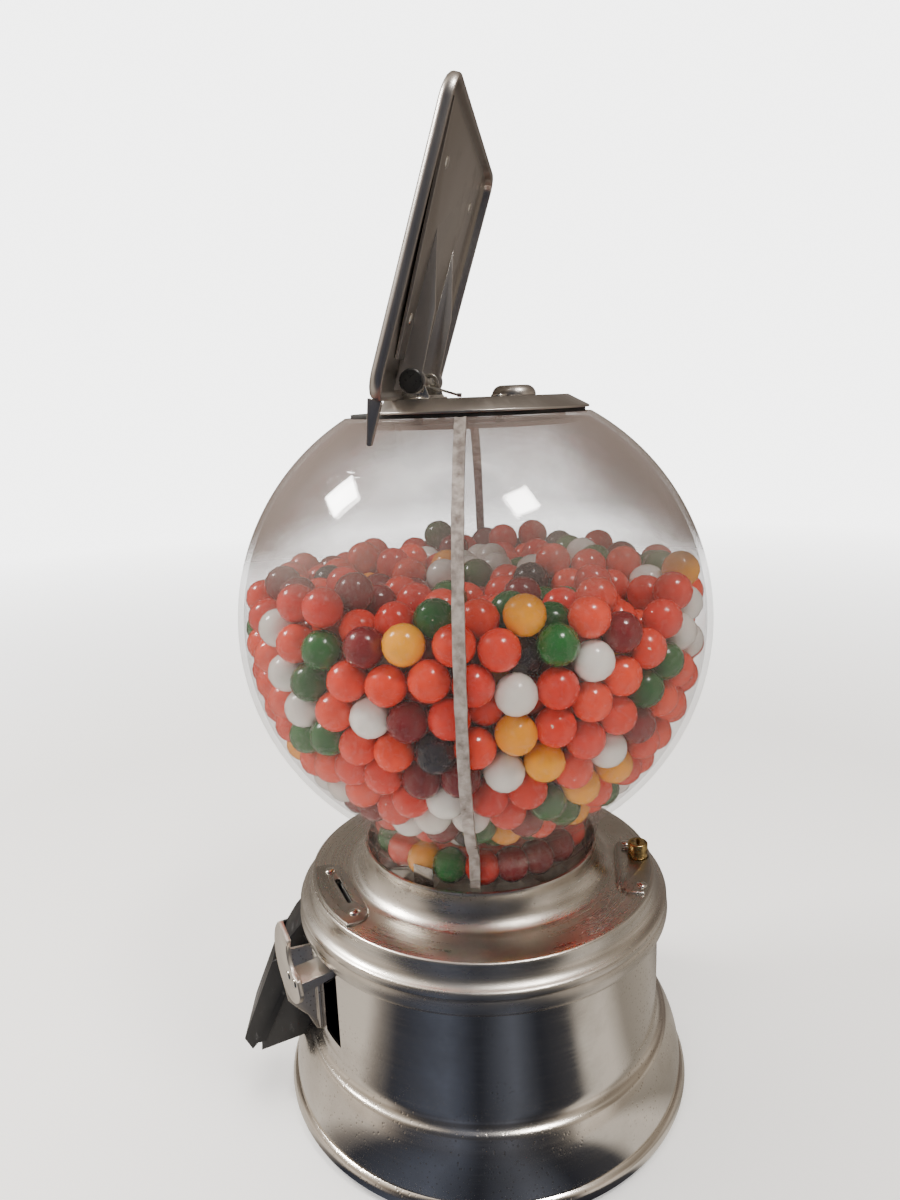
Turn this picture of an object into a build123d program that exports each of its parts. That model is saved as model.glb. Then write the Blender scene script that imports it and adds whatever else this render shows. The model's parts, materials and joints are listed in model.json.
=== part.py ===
"""Push-lever gumball machine with a plated round base and a clear plastic globe.

Millimetres. +Z is up, the machine stands on z = 0 about the Z axis, and the
ball chute faces -Y. Bearings round the axis are in degrees from +X.
"""
from build123d import *
from math import cos, radians, sin, sqrt
import os

# ---------------------------------------------------------------- driving sizes
SHEET = 1.0             # spun and pressed sheet
CLEAR = 0.3             # gap between pieces that move past each other
RUN = 0.05              # radial running clearance of pins and shafts
BALL_D = 14.2           # one gumball

FOOT_H = 1.9            # rubber pad under the bottom plate
PAD_R = 66.0            # inside the heads of the post screws
BODY_R = 75.2           # straight wall of the base
BODY_TOP = 86.0
SHOULDER_Z = 99.2       # flat top of the shoulder cap
SHOULDER_R = 73.6
COLLAR_FOOT_R = 56.4
COLLAR_R = 49.6         # rim of the collar that holds the globe
COLLAR_TOP = 112.0

GLOBE_R = 93.5
GLOBE_Z = 207.4         # height of the globe's centre
GLOBE_WALL = 2.2
NECK_R = 48.2
NECK_Z = 102.0          # bottom edge of the neck
GLOBE_TOP = 288.0
MOUTH_R = 37.5          # opening in the globe's flat top
SEAM_W = 3.8
BALL_LEVEL = 236.0      # how high the gumballs lie

PLATE_R = 46.5          # top plate
PLATE_Z = 289.4
PLATE_TOP = 294.4
PLATE_CUT = -27.0       # straight edge on the hinge side
PIN_X = -17.0           # lid hinge, in the top plate's own frame
PIN_Z = PLATE_TOP + 6.3
PIN_R = 1.6
EAR_Y = 23.0            # lid ears, either side of the middle
LID_OPEN = 72.3         # degrees up from level
LID_W = 97.5            # hinge edge to free edge
LID_L = 135.2           # along the hinge
LID_UNDER = 6.2         # pin axis to the lid's underside
LID_BACK = -8.0         # hinge edge, measured from the pin
LID_RIM = 3.6

CHUTE_AZ = 270.0
COIN_AZ = 291.0
LEVER_AZ = 300.0
GUARD_AZ = 286.0
LOCK_AZ = 78.0
HINGE_AZ = 260.0
SEAM_AZ = 353.0
POST_AZ = (30.0, 150.0, 225.0)
POST_R = 70.5           # posts that tie the base together
SCREW_R = 1.6

WHEEL_R = 45.0          # ball wheel
WHEEL_Z = 90.4
WHEEL_TOP = 101.0
POCKETS = 10
POCKET_PCR = 33.0
POCKET_R = BALL_D / 2 + 0.6
STUD_R = 5.0
DECK_T = 1.2            # mechanism plate
DECK = BODY_TOP + DECK_T
RATCHET_R = 12.4

PIVOT_R = 34.0          # lever pivot, from the machine's axis
PIVOT_Z = 68.0
HUB_HALF = 3.6          # half width of the arm between its bracket's cheeks
LEVER_Z = 76.5          # underside of the lever's strap
LEVER_W = 11.5
BLADE_R = 88.5
CRANK = 14.0

DOOR_Y, DOOR_Z = -79.3, 64.4    # axis of the chute door's pins
CHUTE_HALF = 13.2
DOOR_PIN_R = 1.6
DOOR_HALF = CHUTE_HALF + 0.6     # inside of the door's cheeks

os.makedirs("parts", exist_ok=True)


def turned(azimuth, z=0.0):
    """Level plane whose x runs outwards at this bearing."""
    a = radians(azimuth)
    return Plane(origin=(0, 0, z), x_dir=(cos(a), sin(a), 0), z_dir=(0, 0, 1))


def upright(azimuth, offset=0.0):
    """Vertical plane whose x runs outwards at this bearing and whose y is up."""
    a = radians(azimuth)
    side = (-sin(a), cos(a))
    return Plane(
        origin=(offset * side[0], offset * side[1], 0),
        x_dir=(cos(a), sin(a), 0),
        z_dir=(-side[0], -side[1], 0),
    )


def keep(builder, name):
    """Label a finished piece and write it out."""
    builder.part.label = name
    export_step(builder.part, f"parts/{name}.step")


# ---------------------------------------------------------------- base shell
def base_outline(inset):
    """Half outline of the base from its rolled rim up to the open top."""
    with BuildLine() as line:
        Polyline(
            (0, FOOT_H - SHEET + inset), (84.2, FOOT_H - SHEET + inset),
        )
        ThreePointArc(
            (84.2, FOOT_H - SHEET + inset), (88.1 - inset, 4.6), (85.6 - inset, 8.2),
        )
        ThreePointArc((85.6 - inset, 8.2), (84.1 - inset, 20.5), (79.2 - inset, 31.2))
        ThreePointArc((79.2 - inset, 31.2), (76.3 - inset, 33.6), (BODY_R - inset, 37.2))
        Polyline(
            (BODY_R - inset, 37.2), (BODY_R - inset, BODY_TOP), (0, BODY_TOP),
            (0, FOOT_H - SHEET + inset),
        )
    return line.line


with BuildPart() as base_shell:
    with BuildSketch(Plane.XZ):
        add(base_outline(0))
        make_face()
    revolve(axis=Axis.Z)
    with BuildSketch(Plane.XZ):
        add(base_outline(SHEET))
        make_face()
    revolve(axis=Axis.Z, mode=Mode.SUBTRACT)
    with BuildSketch(Plane.XY):
        Circle(80.0)
    extrude(amount=FOOT_H + 0.1, mode=Mode.SUBTRACT)
    with BuildSketch(upright(LEVER_AZ)):            # slot for the lever's strap
        with Locations((BODY_R, (43 + 79.5) / 2)):
            Rectangle(8, 79.5 - 43)
    extrude(amount=(LEVER_W + 1.6) / 2, both=True, mode=Mode.SUBTRACT)
    with BuildSketch(upright(CHUTE_AZ)):            # ball outlet
        with Locations((BODY_R, 47.5)):
            Rectangle(8, 24)
    extrude(amount=9.6, both=True, mode=Mode.SUBTRACT)
keep(base_shell, "base_shell")

# ---------------------------------------------------------------- underside
with BuildPart() as bottom_plate:
    with BuildSketch(Plane.XY.offset(FOOT_H)):
        Circle(82.6)
        for az in POST_AZ:
            with PolarLocations(POST_R, 1, start_angle=az):
                Circle(SCREW_R, mode=Mode.SUBTRACT)
    extrude(amount=1.2)
keep(bottom_plate, "bottom_plate")

with BuildPart() as base_pad:                   # round rubber pad that it stands on
    with BuildSketch(Plane.XY):
        Circle(PAD_R)
    extrude(amount=FOOT_H)
keep(base_pad, "base_pad")

with BuildPart() as tie_posts:
    for az in POST_AZ:
        with BuildSketch(turned(az, FOOT_H + 1.2)):
            with Locations((POST_R, 0)):
                RegularPolygon(3.4, 6)
        extrude(amount=BODY_TOP - FOOT_H - 1.2)
        with BuildSketch(turned(az)):
            with Locations((POST_R, 0)):
                Circle(SCREW_R)
        extrude(amount=12, mode=Mode.SUBTRACT)
        with BuildSketch(turned(az, BODY_TOP - 9)):
            with Locations((POST_R, 0)):
                Circle(SCREW_R)
        extrude(amount=12, mode=Mode.SUBTRACT)
keep(tie_posts, "tie_posts")

with BuildPart() as post_screws:                # three from below, three through the deck
    for az in POST_AZ:
        with BuildSketch(turned(az, DECK)):
            with Locations((POST_R, 0)):
                Circle(3.2)
        extrude(amount=1.8)
        with BuildSketch(turned(az, BODY_TOP - 8)):
            with Locations((POST_R, 0)):
                Circle(SCREW_R)
        extrude(amount=DECK - BODY_TOP + 8)
        with BuildSketch(turned(az, FOOT_H)):
            with Locations((POST_R, 0)):
                Circle(3.2)
        extrude(amount=-1.2)
        with BuildSketch(turned(az, FOOT_H)):
            with Locations((POST_R, 0)):
                Circle(SCREW_R)
        extrude(amount=9)
keep(post_screws, "post_screws")

with BuildPart() as coin_box:
    with BuildSketch(Plane.XY.offset(FOOT_H + 1.2)):
        Circle(65)
    extrude(amount=24.8)
    offset(amount=-1.2, openings=coin_box.faces().sort_by(Axis.Z)[-1])
keep(coin_box, "coin_box")


# ---------------------------------------------------------------- shoulder cap
def cap_outline(inset):
    """Half outline of the stepped cap, its flat shoulder and the flared collar."""
    band = 78.0 - inset
    with BuildLine() as line:
        Line((0, 81.2), (band, 81.2))
        ThreePointArc((band, 81.2), (band + 1.1, 84.4), (band - 0.1, 87.4))
        ThreePointArc((band - 0.1, 87.4), (band + 0.7, 89.2), (band - 0.9, 91.0))
        ThreePointArc((band - 0.9, 91.0), (band - 3.4, 93.2), (SHOULDER_R - inset, 97.6))
        Line((SHOULDER_R - inset, 97.6), (SHOULDER_R - inset - 1.2, SHOULDER_Z - inset))
        Line((SHOULDER_R - inset - 1.2, SHOULDER_Z - inset), (COLLAR_FOOT_R, SHOULDER_Z - inset))
        ThreePointArc(
            (COLLAR_FOOT_R, SHOULDER_Z - inset),
            (52.0 - inset, 102.3),
            (COLLAR_R + 0.2 - inset, COLLAR_TOP - 0.8),
        )
        Line((COLLAR_R + 0.2 - inset, COLLAR_TOP - 0.8), (COLLAR_R - inset, COLLAR_TOP))
        Line((COLLAR_R - inset, COLLAR_TOP), (0, COLLAR_TOP))
        Line((0, COLLAR_TOP), (0, 81.2))
    return line.line


LOCK_R = 67.0
with BuildPart() as shoulder_cap:
    with BuildSketch(Plane.XZ):
        add(cap_outline(0))
        make_face()
    revolve(axis=Axis.Z)
    with BuildSketch(Plane.XZ):
        add(cap_outline(SHEET))
        make_face()
    revolve(axis=Axis.Z, mode=Mode.SUBTRACT)
    with BuildSketch(turned(COIN_AZ, SHOULDER_Z - 3)):
        with Locations((62.5, 0)):
            Rectangle(3.2, 21)
    extrude(amount=6, mode=Mode.SUBTRACT)
    with BuildSketch(turned(LOCK_AZ, SHOULDER_Z - 3)):
        with Locations((LOCK_R, 5.0)):
            Circle(4.2 + CLEAR)
    extrude(amount=6, mode=Mode.SUBTRACT)
keep(shoulder_cap, "shoulder_cap")

# ---------------------------------------------------------------- coin entry
SLOT_L, SLOT_W = 19.6, 2.2      # takes a 19 mm coin
with BuildPart() as coin_plate:
    with BuildSketch(turned(COIN_AZ, SHOULDER_Z)):
        Circle(72.2)
        with Locations((66, 0)):
            RectangleRounded(17.6, 47, 8.0, mode=Mode.INTERSECT)
        with Locations((62.5, 0)):
            SlotOverall(SLOT_L, SLOT_W, rotation=90, mode=Mode.SUBTRACT)
    extrude(amount=1.2)
    chamfer(coin_plate.faces().sort_by(Axis.Z)[-1].outer_wire().edges(), 0.5)
keep(coin_plate, "coin_plate")

with BuildPart() as coin_plate_rivets:
    for side in (-1, 1):
        with BuildSketch(turned(COIN_AZ, SHOULDER_Z + 1.2)):
            with Locations((63.2, side * 17.0)):
                Circle(2.3)
        extrude(amount=1.1)
    fillet(coin_plate_rivets.edges().filter_by(GeomType.CIRCLE).group_by(Axis.Z)[-1], 0.9)
keep(coin_plate_rivets, "coin_plate_rivets")

with BuildPart() as coin_chute:
    with BuildSketch(turned(COIN_AZ, DECK)):
        with Locations((62.5, 0)):
            Rectangle(4.6, 23)
            Rectangle(SLOT_W + 0.4, 20.4, mode=Mode.SUBTRACT)
    extrude(amount=SHOULDER_Z - SHEET - DECK)
keep(coin_chute, "coin_chute")

# ---------------------------------------------------------------- lock
with BuildPart() as lock_plate:
    with BuildSketch(turned(LOCK_AZ, SHOULDER_Z)):
        Circle(72.2)
        with Locations((66, -2)):
            RectangleRounded(17.6, 43, 8.0, mode=Mode.INTERSECT)
        with Locations((LOCK_R, 5.0)):
            Circle(4.2 + CLEAR, mode=Mode.SUBTRACT)
        with Locations((61.6, 1)):
            SlotOverall(20, 2.4, rotation=90, mode=Mode.SUBTRACT)
    extrude(amount=1.2)
    chamfer(lock_plate.faces().sort_by(Axis.Z)[-1].outer_wire().edges(), 0.5)
keep(lock_plate, "lock_plate")

with BuildPart() as lock_plate_rivets:
    for place in ((67.4, -18.0), (62.2, 15.0)):
        with BuildSketch(turned(LOCK_AZ, SHOULDER_Z + 1.2)):
            with Locations(place):
                Circle(2.3)
        extrude(amount=1.1)
    fillet(lock_plate_rivets.edges().filter_by(GeomType.CIRCLE).group_by(Axis.Z)[-1], 0.9)
keep(lock_plate_rivets, "lock_plate_rivets")

LOCK_TOP = 107.0
with BuildPart() as lock_cylinder:
    with BuildSketch(turned(LOCK_AZ, 93.0)):
        with Locations((LOCK_R, 5.0)):
            Circle(4.2 - 0.04)
    extrude(amount=LOCK_TOP - 93.0)
    with BuildSketch(turned(LOCK_AZ, LOCK_TOP)):
        with Locations((LOCK_R, 5.0)):
            SlotOverall(5.2, 1.2, rotation=90)
    extrude(amount=-9.0, mode=Mode.SUBTRACT)
    chamfer(lock_cylinder.faces().sort_by(Axis.Z)[-1].outer_wire().edges(), 0.5)
keep(lock_cylinder, "lock_cylinder")

with BuildPart() as lock_cam:
    with BuildSketch(turned(LOCK_AZ, 91.4)):
        with Locations((LOCK_R, 5.0)):
            Circle(3.6)
        with Locations((LOCK_R - 4.2, 5.0)):
            Rectangle(8.4, 5.0)
    extrude(amount=1.6)
keep(lock_cam, "lock_cam")


# ---------------------------------------------------------------- globe
def globe_region(proud, wall):
    """Closed half section of the globe's wall, thickened on both sides by proud."""
    out_r, in_r = GLOBE_R + proud, GLOBE_R - wall - proud
    neck_out, neck_in = NECK_R + proud, NECK_R - wall - proud
    top_out, top_in = GLOBE_TOP + proud / 2, GLOBE_TOP - wall - proud
    foot_out = (51.4 + proud, GLOBE_Z - sqrt(out_r ** 2 - (51.4 + proud) ** 2))
    foot_in = (49.6 - proud, GLOBE_Z - sqrt(in_r ** 2 - (49.6 - proud) ** 2))
    crown_out = (sqrt(out_r ** 2 - (top_out - GLOBE_Z) ** 2), top_out)
    crown_in = (sqrt(in_r ** 2 - (top_in - GLOBE_Z) ** 2), top_in)
    with BuildLine() as line:
        Polyline((neck_in, NECK_Z), (neck_out, NECK_Z), (neck_out, 113.6))
        ThreePointArc((neck_out, 113.6), (neck_out + 1.2, 115.4), (neck_out + 0.4, 117.2))
        ThreePointArc(
            (neck_out + 0.4, 117.2), (neck_out + 2.4, 119.4), (neck_out + 1.6, 121.6),
        )
        Line((neck_out + 1.6, 121.6), foot_out)
        ThreePointArc(foot_out, (out_r, GLOBE_Z), crown_out)
        Polyline(crown_out, (MOUTH_R, top_out), (MOUTH_R, top_in), crown_in)
        ThreePointArc(crown_in, (in_r, GLOBE_Z), foot_in)
        Polyline(foot_in, (neck_in, 119.0), (neck_in, NECK_Z))
    return line.line


def globe_half(side):
    """One moulded half of the globe, cut back from the cemented seam."""
    with BuildPart() as half:
        with BuildSketch(Plane.XZ):
            add(globe_region(0, GLOBE_WALL))
            make_face()
        revolve(axis=Axis.Z)
        with BuildSketch(turned(SEAM_AZ, 90)):
            with Locations((0, -side * (100 - SEAM_W / 2))):
                Rectangle(210, 200)
        extrude(amount=220, mode=Mode.SUBTRACT)
    return half


globe_half_front = globe_half(-1)
keep(globe_half_front, "globe_half_front")
globe_half_back = globe_half(1)
keep(globe_half_back, "globe_half_back")

with BuildPart() as globe_seam:
    with BuildSketch(Plane.XZ):
        add(globe_region(0.35, GLOBE_WALL))
        make_face()
    revolve(axis=Axis.Z)
    with BuildSketch(turned(SEAM_AZ, 90)):
        Rectangle(210, SEAM_W)
    extrude(amount=220, mode=Mode.INTERSECT)
    with BuildSketch(Plane.XY.offset(90)):      # stays clear inside the collar
        Circle(60)
    extrude(amount=NECK_Z + 10.4 - 90, mode=Mode.SUBTRACT)
    with BuildSketch(Plane.XY.offset(GLOBE_TOP)):
        Circle(60)
    extrude(amount=5, mode=Mode.SUBTRACT)
keep(globe_seam, "globe_seam")

with BuildPart() as gumballs:
    fill_r = GLOBE_R - GLOBE_WALL - 1.2
    with BuildSketch(Plane.XZ):
        with BuildLine():
            throat = (44.0, 109.0)
            hip = (47.0, GLOBE_Z - sqrt(fill_r ** 2 - 47.0 ** 2))
            brim = (sqrt(fill_r ** 2 - (BALL_LEVEL - GLOBE_Z) ** 2), BALL_LEVEL)
            Polyline((0, 109.0), throat, (44.0, 118.0), hip)
            ThreePointArc(hip, (fill_r, GLOBE_Z), brim)
            Polyline(brim, (0, BALL_LEVEL), (0, 109.0))
        make_face()
    revolve(axis=Axis.Z)
keep(gumballs, "gumballs")

with BuildPart() as neck_seat:                  # holds the globe's neck round the wheel
    with BuildSketch(Plane.XY.offset(DECK)):
        Circle(48.0)
        Circle(WHEEL_R + 0.8, mode=Mode.SUBTRACT)
    extrude(amount=NECK_Z - DECK)
    with BuildSketch(turned(LEVER_AZ, DECK)):   # gate that the drive slide moves through
        with Locations((45, 8)):
            Rectangle(20, 34)
    extrude(amount=WHEEL_Z - DECK, mode=Mode.SUBTRACT)
keep(neck_seat, "neck_seat")

CLIP_R = 44.9
with BuildPart() as neck_clips:
    for az in (326, 86, 206):
        with BuildSketch(upright(az)):
            with BuildLine():
                Polyline(
                    (CLIP_R, 104.0), (CLIP_R + 0.6, 104.0), (CLIP_R + 0.6, 118.0),
                    (CLIP_R, 118.0), (CLIP_R, 104.0),
                )
            make_face()
        extrude(amount=4.5, both=True)
keep(neck_clips, "neck_clips")

# ---------------------------------------------------------------- globe top
TOP_AZ = HINGE_AZ - 180.0       # x of the top assembly runs away from the hinge
FILL_X, FILL_W, FILL_L = 0.5, 17.0, 58.0
DOME_X = 18.0
CLAMP_Z = GLOBE_TOP - GLOBE_WALL - 1.9
CLAMP_T = 1.5
SCREW_AZ = (65, 115, 245, 295)

with BuildPart() as globe_gasket:
    with BuildSketch(Plane.XY.offset(GLOBE_TOP)):
        Circle(45.0)
        Circle(MOUTH_R, mode=Mode.SUBTRACT)
    extrude(amount=PLATE_Z - GLOBE_TOP)
keep(globe_gasket, "globe_gasket")

with BuildPart() as top_plate:
    with BuildSketch(turned(TOP_AZ, PLATE_Z)):
        Circle(PLATE_R)
    extrude(amount=PLATE_TOP - PLATE_Z)
    chamfer(top_plate.edges().group_by(Axis.Z)[-1], 4.2, 8.0)
    with BuildSketch(turned(TOP_AZ, PLATE_Z)):
        Circle(36.2)
    extrude(amount=PLATE_TOP - PLATE_Z - 1.6, mode=Mode.SUBTRACT)
    with BuildSketch(turned(TOP_AZ, PLATE_Z - 1)):
        with Locations((PLATE_CUT - 20, 0)):
            Rectangle(40, 120)
        with Locations((FILL_X, 0)):
            SlotOverall(FILL_L, FILL_W, rotation=90)
        for az in SCREW_AZ:
            with PolarLocations(34.0, 1, start_angle=az):
                Circle(1.5)
    extrude(amount=10, mode=Mode.SUBTRACT)
keep(top_plate, "top_plate")

with BuildPart() as clamp_ring:                 # grips the globe's mouth from inside
    with BuildSketch(turned(TOP_AZ, CLAMP_Z)):
        Circle(42.0)
        Circle(31.0, mode=Mode.SUBTRACT)
        for az in SCREW_AZ:
            with PolarLocations(34.0, 1, start_angle=az):
                Circle(1.5, mode=Mode.SUBTRACT)
    extrude(amount=CLAMP_T)
keep(clamp_ring, "clamp_ring")

with BuildPart() as plate_screws:
    for az in SCREW_AZ:
        with BuildSketch(turned(TOP_AZ + az, PLATE_TOP)):
            with Locations((34.0, 0)):
                Circle(2.8)
        extrude(amount=0.7)
        with BuildSketch(turned(TOP_AZ + az, CLAMP_Z)):
            with Locations((34.0, 0)):
                Circle(1.5)
        extrude(amount=PLATE_TOP - CLAMP_Z)
    fillet(plate_screws.edges().filter_by(GeomType.CIRCLE).group_by(Axis.Z)[-1], 0.5)
keep(plate_screws, "plate_screws")

with BuildPart() as catch_dome:                 # the lid's nose rests on this
    with BuildSketch(turned(TOP_AZ, PLATE_TOP)):
        with Locations((DOME_X, 0)):
            Circle(8.4)
    extrude(amount=3.9)
    fillet(catch_dome.edges().group_by(Axis.Z)[-1], 3.7)
keep(catch_dome, "catch_dome")

# ---------------------------------------------------------------- hinge
LUG_Y = EAR_Y - 3.2
with BuildPart() as hinge_bracket:
    with BuildSketch(turned(TOP_AZ, PLATE_TOP)):
        with Locations((PIN_X, 0)):
            Rectangle(11.0, 2 * LUG_Y)
    extrude(amount=1.2)
    for side in (-1, 1):
        with BuildSketch(upright(TOP_AZ, side * LUG_Y)):
            with BuildLine():
                Polyline((PIN_X - 5.5, PLATE_TOP), (PIN_X + 5.5, PLATE_TOP), (PIN_X + 3.4, PIN_Z))
                ThreePointArc((PIN_X + 3.4, PIN_Z), (PIN_X, PIN_Z + 3.4), (PIN_X - 3.4, PIN_Z))
                Line((PIN_X - 3.4, PIN_Z), (PIN_X - 5.5, PLATE_TOP))
            make_face()
        extrude(amount=0.6, both=True)
    with BuildSketch(upright(TOP_AZ)):
        with Locations((PIN_X, PIN_Z)):
            Circle(PIN_R)
    extrude(amount=40, both=True, mode=Mode.SUBTRACT)
keep(hinge_bracket, "hinge_bracket")

with BuildPart() as hinge_pin:
    with BuildSketch(upright(TOP_AZ)):
        with Locations((PIN_X, PIN_Z)):
            Circle(PIN_R)
    extrude(amount=EAR_Y + 1.2, both=True)
    with BuildSketch(upright(TOP_AZ, EAR_Y + 1.2)):
        with Locations((PIN_X, PIN_Z)):
            Circle(2.8)
    extrude(amount=-1.4)
keep(hinge_pin, "hinge_pin")

with BuildPart() as pin_knob:                   # black head on the pin's near end
    with BuildSketch(upright(TOP_AZ, -EAR_Y - 1.2)):
        with Locations((PIN_X, PIN_Z)):
            Circle(4.4)
    extrude(amount=3.2)
    fillet(pin_knob.edges().filter_by(GeomType.CIRCLE), 0.8)
keep(pin_knob, "pin_knob")

with BuildPart() as torsion_spring:             # coil sleeve and the leg along the plate
    with BuildSketch(upright(TOP_AZ, -LUG_Y + 1.4)):
        with Locations((PIN_X, PIN_Z)):
            Circle(3.2)
            Circle(PIN_R + 0.2, mode=Mode.SUBTRACT)
    extrude(amount=-13)
    with BuildSketch(upright(TOP_AZ, -LUG_Y + 8.0)):
        with BuildLine():
            Polyline(
                (PIN_X + 2.2, PIN_Z - 2.2), (PIN_X + 16.5, PLATE_TOP + 0.6),
                (PIN_X + 16.5, PLATE_TOP + 1.6), (PIN_X + 2.6, PIN_Z - 1.0),
                (PIN_X + 2.2, PIN_Z - 2.2),
            )
        make_face()
    extrude(amount=0.8, both=True)
keep(torsion_spring, "torsion_spring")

# ---------------------------------------------------------------- lid
UP = radians(LID_OPEN)
TOP_DIR = (cos(radians(TOP_AZ)), sin(radians(TOP_AZ)))
PIN_AT = turned(TOP_AZ, PIN_Z).from_local_coords(Vector(PIN_X, 0, 0))


def lid_plane(z=0.0):
    """Plane of the open lid: origin on the pin, x to the free edge, z outwards."""
    plane = Plane(
        origin=PIN_AT,
        x_dir=(cos(UP) * TOP_DIR[0], cos(UP) * TOP_DIR[1], sin(UP)),
        z_dir=(-sin(UP) * TOP_DIR[0], -sin(UP) * TOP_DIR[1], cos(UP)),
    )
    return plane.offset(z)


LID_X = LID_BACK + LID_W / 2
CROWN_R = 1500.0
CROWN = 1.5


def crowned_slab(inset, low, high):
    """Round-cornered slab whose top is a very shallow dome."""
    with BuildPart() as slab:
        with BuildSketch(lid_plane(low)):
            with Locations((LID_X, 0)):
                RectangleRounded(LID_W - 2 * inset, LID_L - 2 * inset, 9.0 - inset)
        extrude(amount=high + 4 - low)
        with Locations(Location(lid_plane().from_local_coords(Vector(LID_X, 0, high - CROWN_R)))):
            Sphere(CROWN_R, mode=Mode.INTERSECT)
    return slab.part


with BuildPart() as lid_shell:
    add(crowned_slab(0, LID_UNDER - LID_RIM, LID_UNDER + SHEET + CROWN))
    add(crowned_slab(SHEET, LID_UNDER - LID_RIM - 1, LID_UNDER + CROWN), mode=Mode.SUBTRACT)
    with BuildSketch(lid_plane(LID_UNDER - LID_RIM - 0.5)):   # notch at the hinge side
        with Locations((LID_BACK, 0)):
            Rectangle(3, 2 * EAR_Y + 26)
    extrude(amount=LID_RIM - 0.2, mode=Mode.SUBTRACT)
keep(lid_shell, "lid_shell")

PANEL_TOP = LID_UNDER - 1.2
with BuildPart() as lid_bracket:                # pressed panel with the two hinge ears
    with BuildSketch(lid_plane(PANEL_TOP)):
        with BuildLine():
            Polyline((6, -35), (86, -49), (86, 49), (6, 35), (6, -35))
        make_face()
    extrude(amount=1.2)
    with BuildSketch(lid_plane(PANEL_TOP)):
        with Locations((1, 0)):
            Rectangle(12, 2 * EAR_Y + 1.2)
    extrude(amount=1.2)
    for side in (-1, 1):
        ear_plane = lid_plane()
        ear_plane = Plane(
            origin=ear_plane.from_local_coords(Vector(0, side * EAR_Y, 0)),
            x_dir=ear_plane.x_dir, z_dir=-ear_plane.y_dir,
        )
        with BuildSketch(ear_plane):
            with BuildLine():
                Polyline(
                    (52, PANEL_TOP), (26, -1.4), (4.2, -2.6),
                )
                ThreePointArc((4.2, -2.6), (0, -4.6), (-3.8, -2.6))
                Polyline((-3.8, -2.6), (-4.6, PANEL_TOP), (52, PANEL_TOP))
            make_face()
            Circle(PIN_R + RUN, mode=Mode.SUBTRACT)
        extrude(amount=0.6, both=True)
keep(lid_bracket, "lid_bracket")

with BuildPart() as lid_tab:                    # stop tongue at the near hinge corner
    tab = lid_plane()
    tab = Plane(
        origin=tab.from_local_coords(Vector(LID_BACK, -LID_L / 2 + 11.0, LID_UNDER - 1.3)),
        x_dir=tab.x_dir.rotate(Axis((0, 0, 0), tab.y_dir), -7.0), z_dir=tab.y_dir,
    )
    with BuildSketch(tab):
        with BuildLine():
            Polyline((0.295, -2.4), (-0.295, 2.4), (-14, 0.9))
            ThreePointArc((-14, 0.9), (-15, 0), (-14, -0.9))
            Line((-14, -0.9), (0.295, -2.4))
        make_face()
    extrude(amount=1.5, both=True)
keep(lid_tab, "lid_tab")

with BuildPart() as lid_rivets:
    for x, y in ((20, -30), (20, 30), (70, -36), (70, 36)):
        with BuildSketch(lid_plane(PANEL_TOP)):
            with Locations((x, y)):
                Circle(2.2)
        extrude(amount=-0.8)
    lid_axis = Axis(origin=PIN_AT, direction=lid_plane().z_dir)
    fillet(lid_rivets.edges().filter_by(GeomType.CIRCLE).group_by(lid_axis)[0], 0.6)
keep(lid_rivets, "lid_rivets")

# ---------------------------------------------------------------- mechanism
BALL_DROP = POCKET_R + 0.8
with BuildPart() as mechanism_plate:
    with BuildSketch(Plane.XY.offset(BODY_TOP)):
        Circle(76.2)
        Circle(STUD_R, mode=Mode.SUBTRACT)
        with Locations((0, -POCKET_PCR)):
            Circle(BALL_DROP, mode=Mode.SUBTRACT)
        for az in POST_AZ:
            with PolarLocations(POST_R, 1, start_angle=az):
                Circle(SCREW_R, mode=Mode.SUBTRACT)
    extrude(amount=DECK_T)
    with BuildSketch(turned(COIN_AZ, BODY_TOP)):
        with Locations((62.5, 0)):
            Rectangle(4.0, 21)
    extrude(amount=DECK_T, mode=Mode.SUBTRACT)
    with BuildSketch(turned(LEVER_AZ, BODY_TOP)):           # window for the slide's tail
        with Locations((PIVOT_R + 7.2, 0)):
            Rectangle(15, 11)
    extrude(amount=DECK_T, mode=Mode.SUBTRACT)
keep(mechanism_plate, "mechanism_plate")

with BuildPart() as wheel_stud:
    with BuildSketch(Plane.XY.offset(BODY_TOP - 1.6)):
        Circle(8.0)
    extrude(amount=1.6)
    with BuildSketch(Plane.XY.offset(BODY_TOP)):
        Circle(STUD_R)
    extrude(amount=WHEEL_TOP + 4.0 - BODY_TOP)
keep(wheel_stud, "wheel_stud")

with BuildPart() as ball_wheel:
    with BuildSketch(Plane.XY.offset(WHEEL_Z)):
        Circle(WHEEL_R)
        Circle(STUD_R + RUN, mode=Mode.SUBTRACT)
        with PolarLocations(POCKET_PCR, POCKETS, start_angle=CHUTE_AZ):
            Circle(POCKET_R, mode=Mode.SUBTRACT)
    extrude(amount=WHEEL_TOP - WHEEL_Z)
keep(ball_wheel, "ball_wheel")

with BuildPart() as ratchet:
    with BuildSketch(Plane.XY.offset(DECK + 0.3)):
        Circle(RATCHET_R)
        with PolarLocations(RATCHET_R, POCKETS, start_angle=9):
            Rectangle(3.6, 3.0, mode=Mode.SUBTRACT)
        Circle(STUD_R + RUN, mode=Mode.SUBTRACT)
    extrude(amount=WHEEL_Z - DECK - 0.3)
keep(ratchet, "ratchet")

with BuildPart() as ball_shield:                # keeps the heap off the ball being served
    with BuildSketch(turned(CHUTE_AZ, WHEEL_TOP + CLEAR)):
        Circle(8.0)
        with Locations((26.0, 0)):
            Rectangle(38.0, 21.0)
        Circle(WHEEL_R - 0.4, mode=Mode.INTERSECT)
        Circle(STUD_R, mode=Mode.SUBTRACT)
    extrude(amount=1.2)
keep(ball_shield, "ball_shield")

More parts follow.
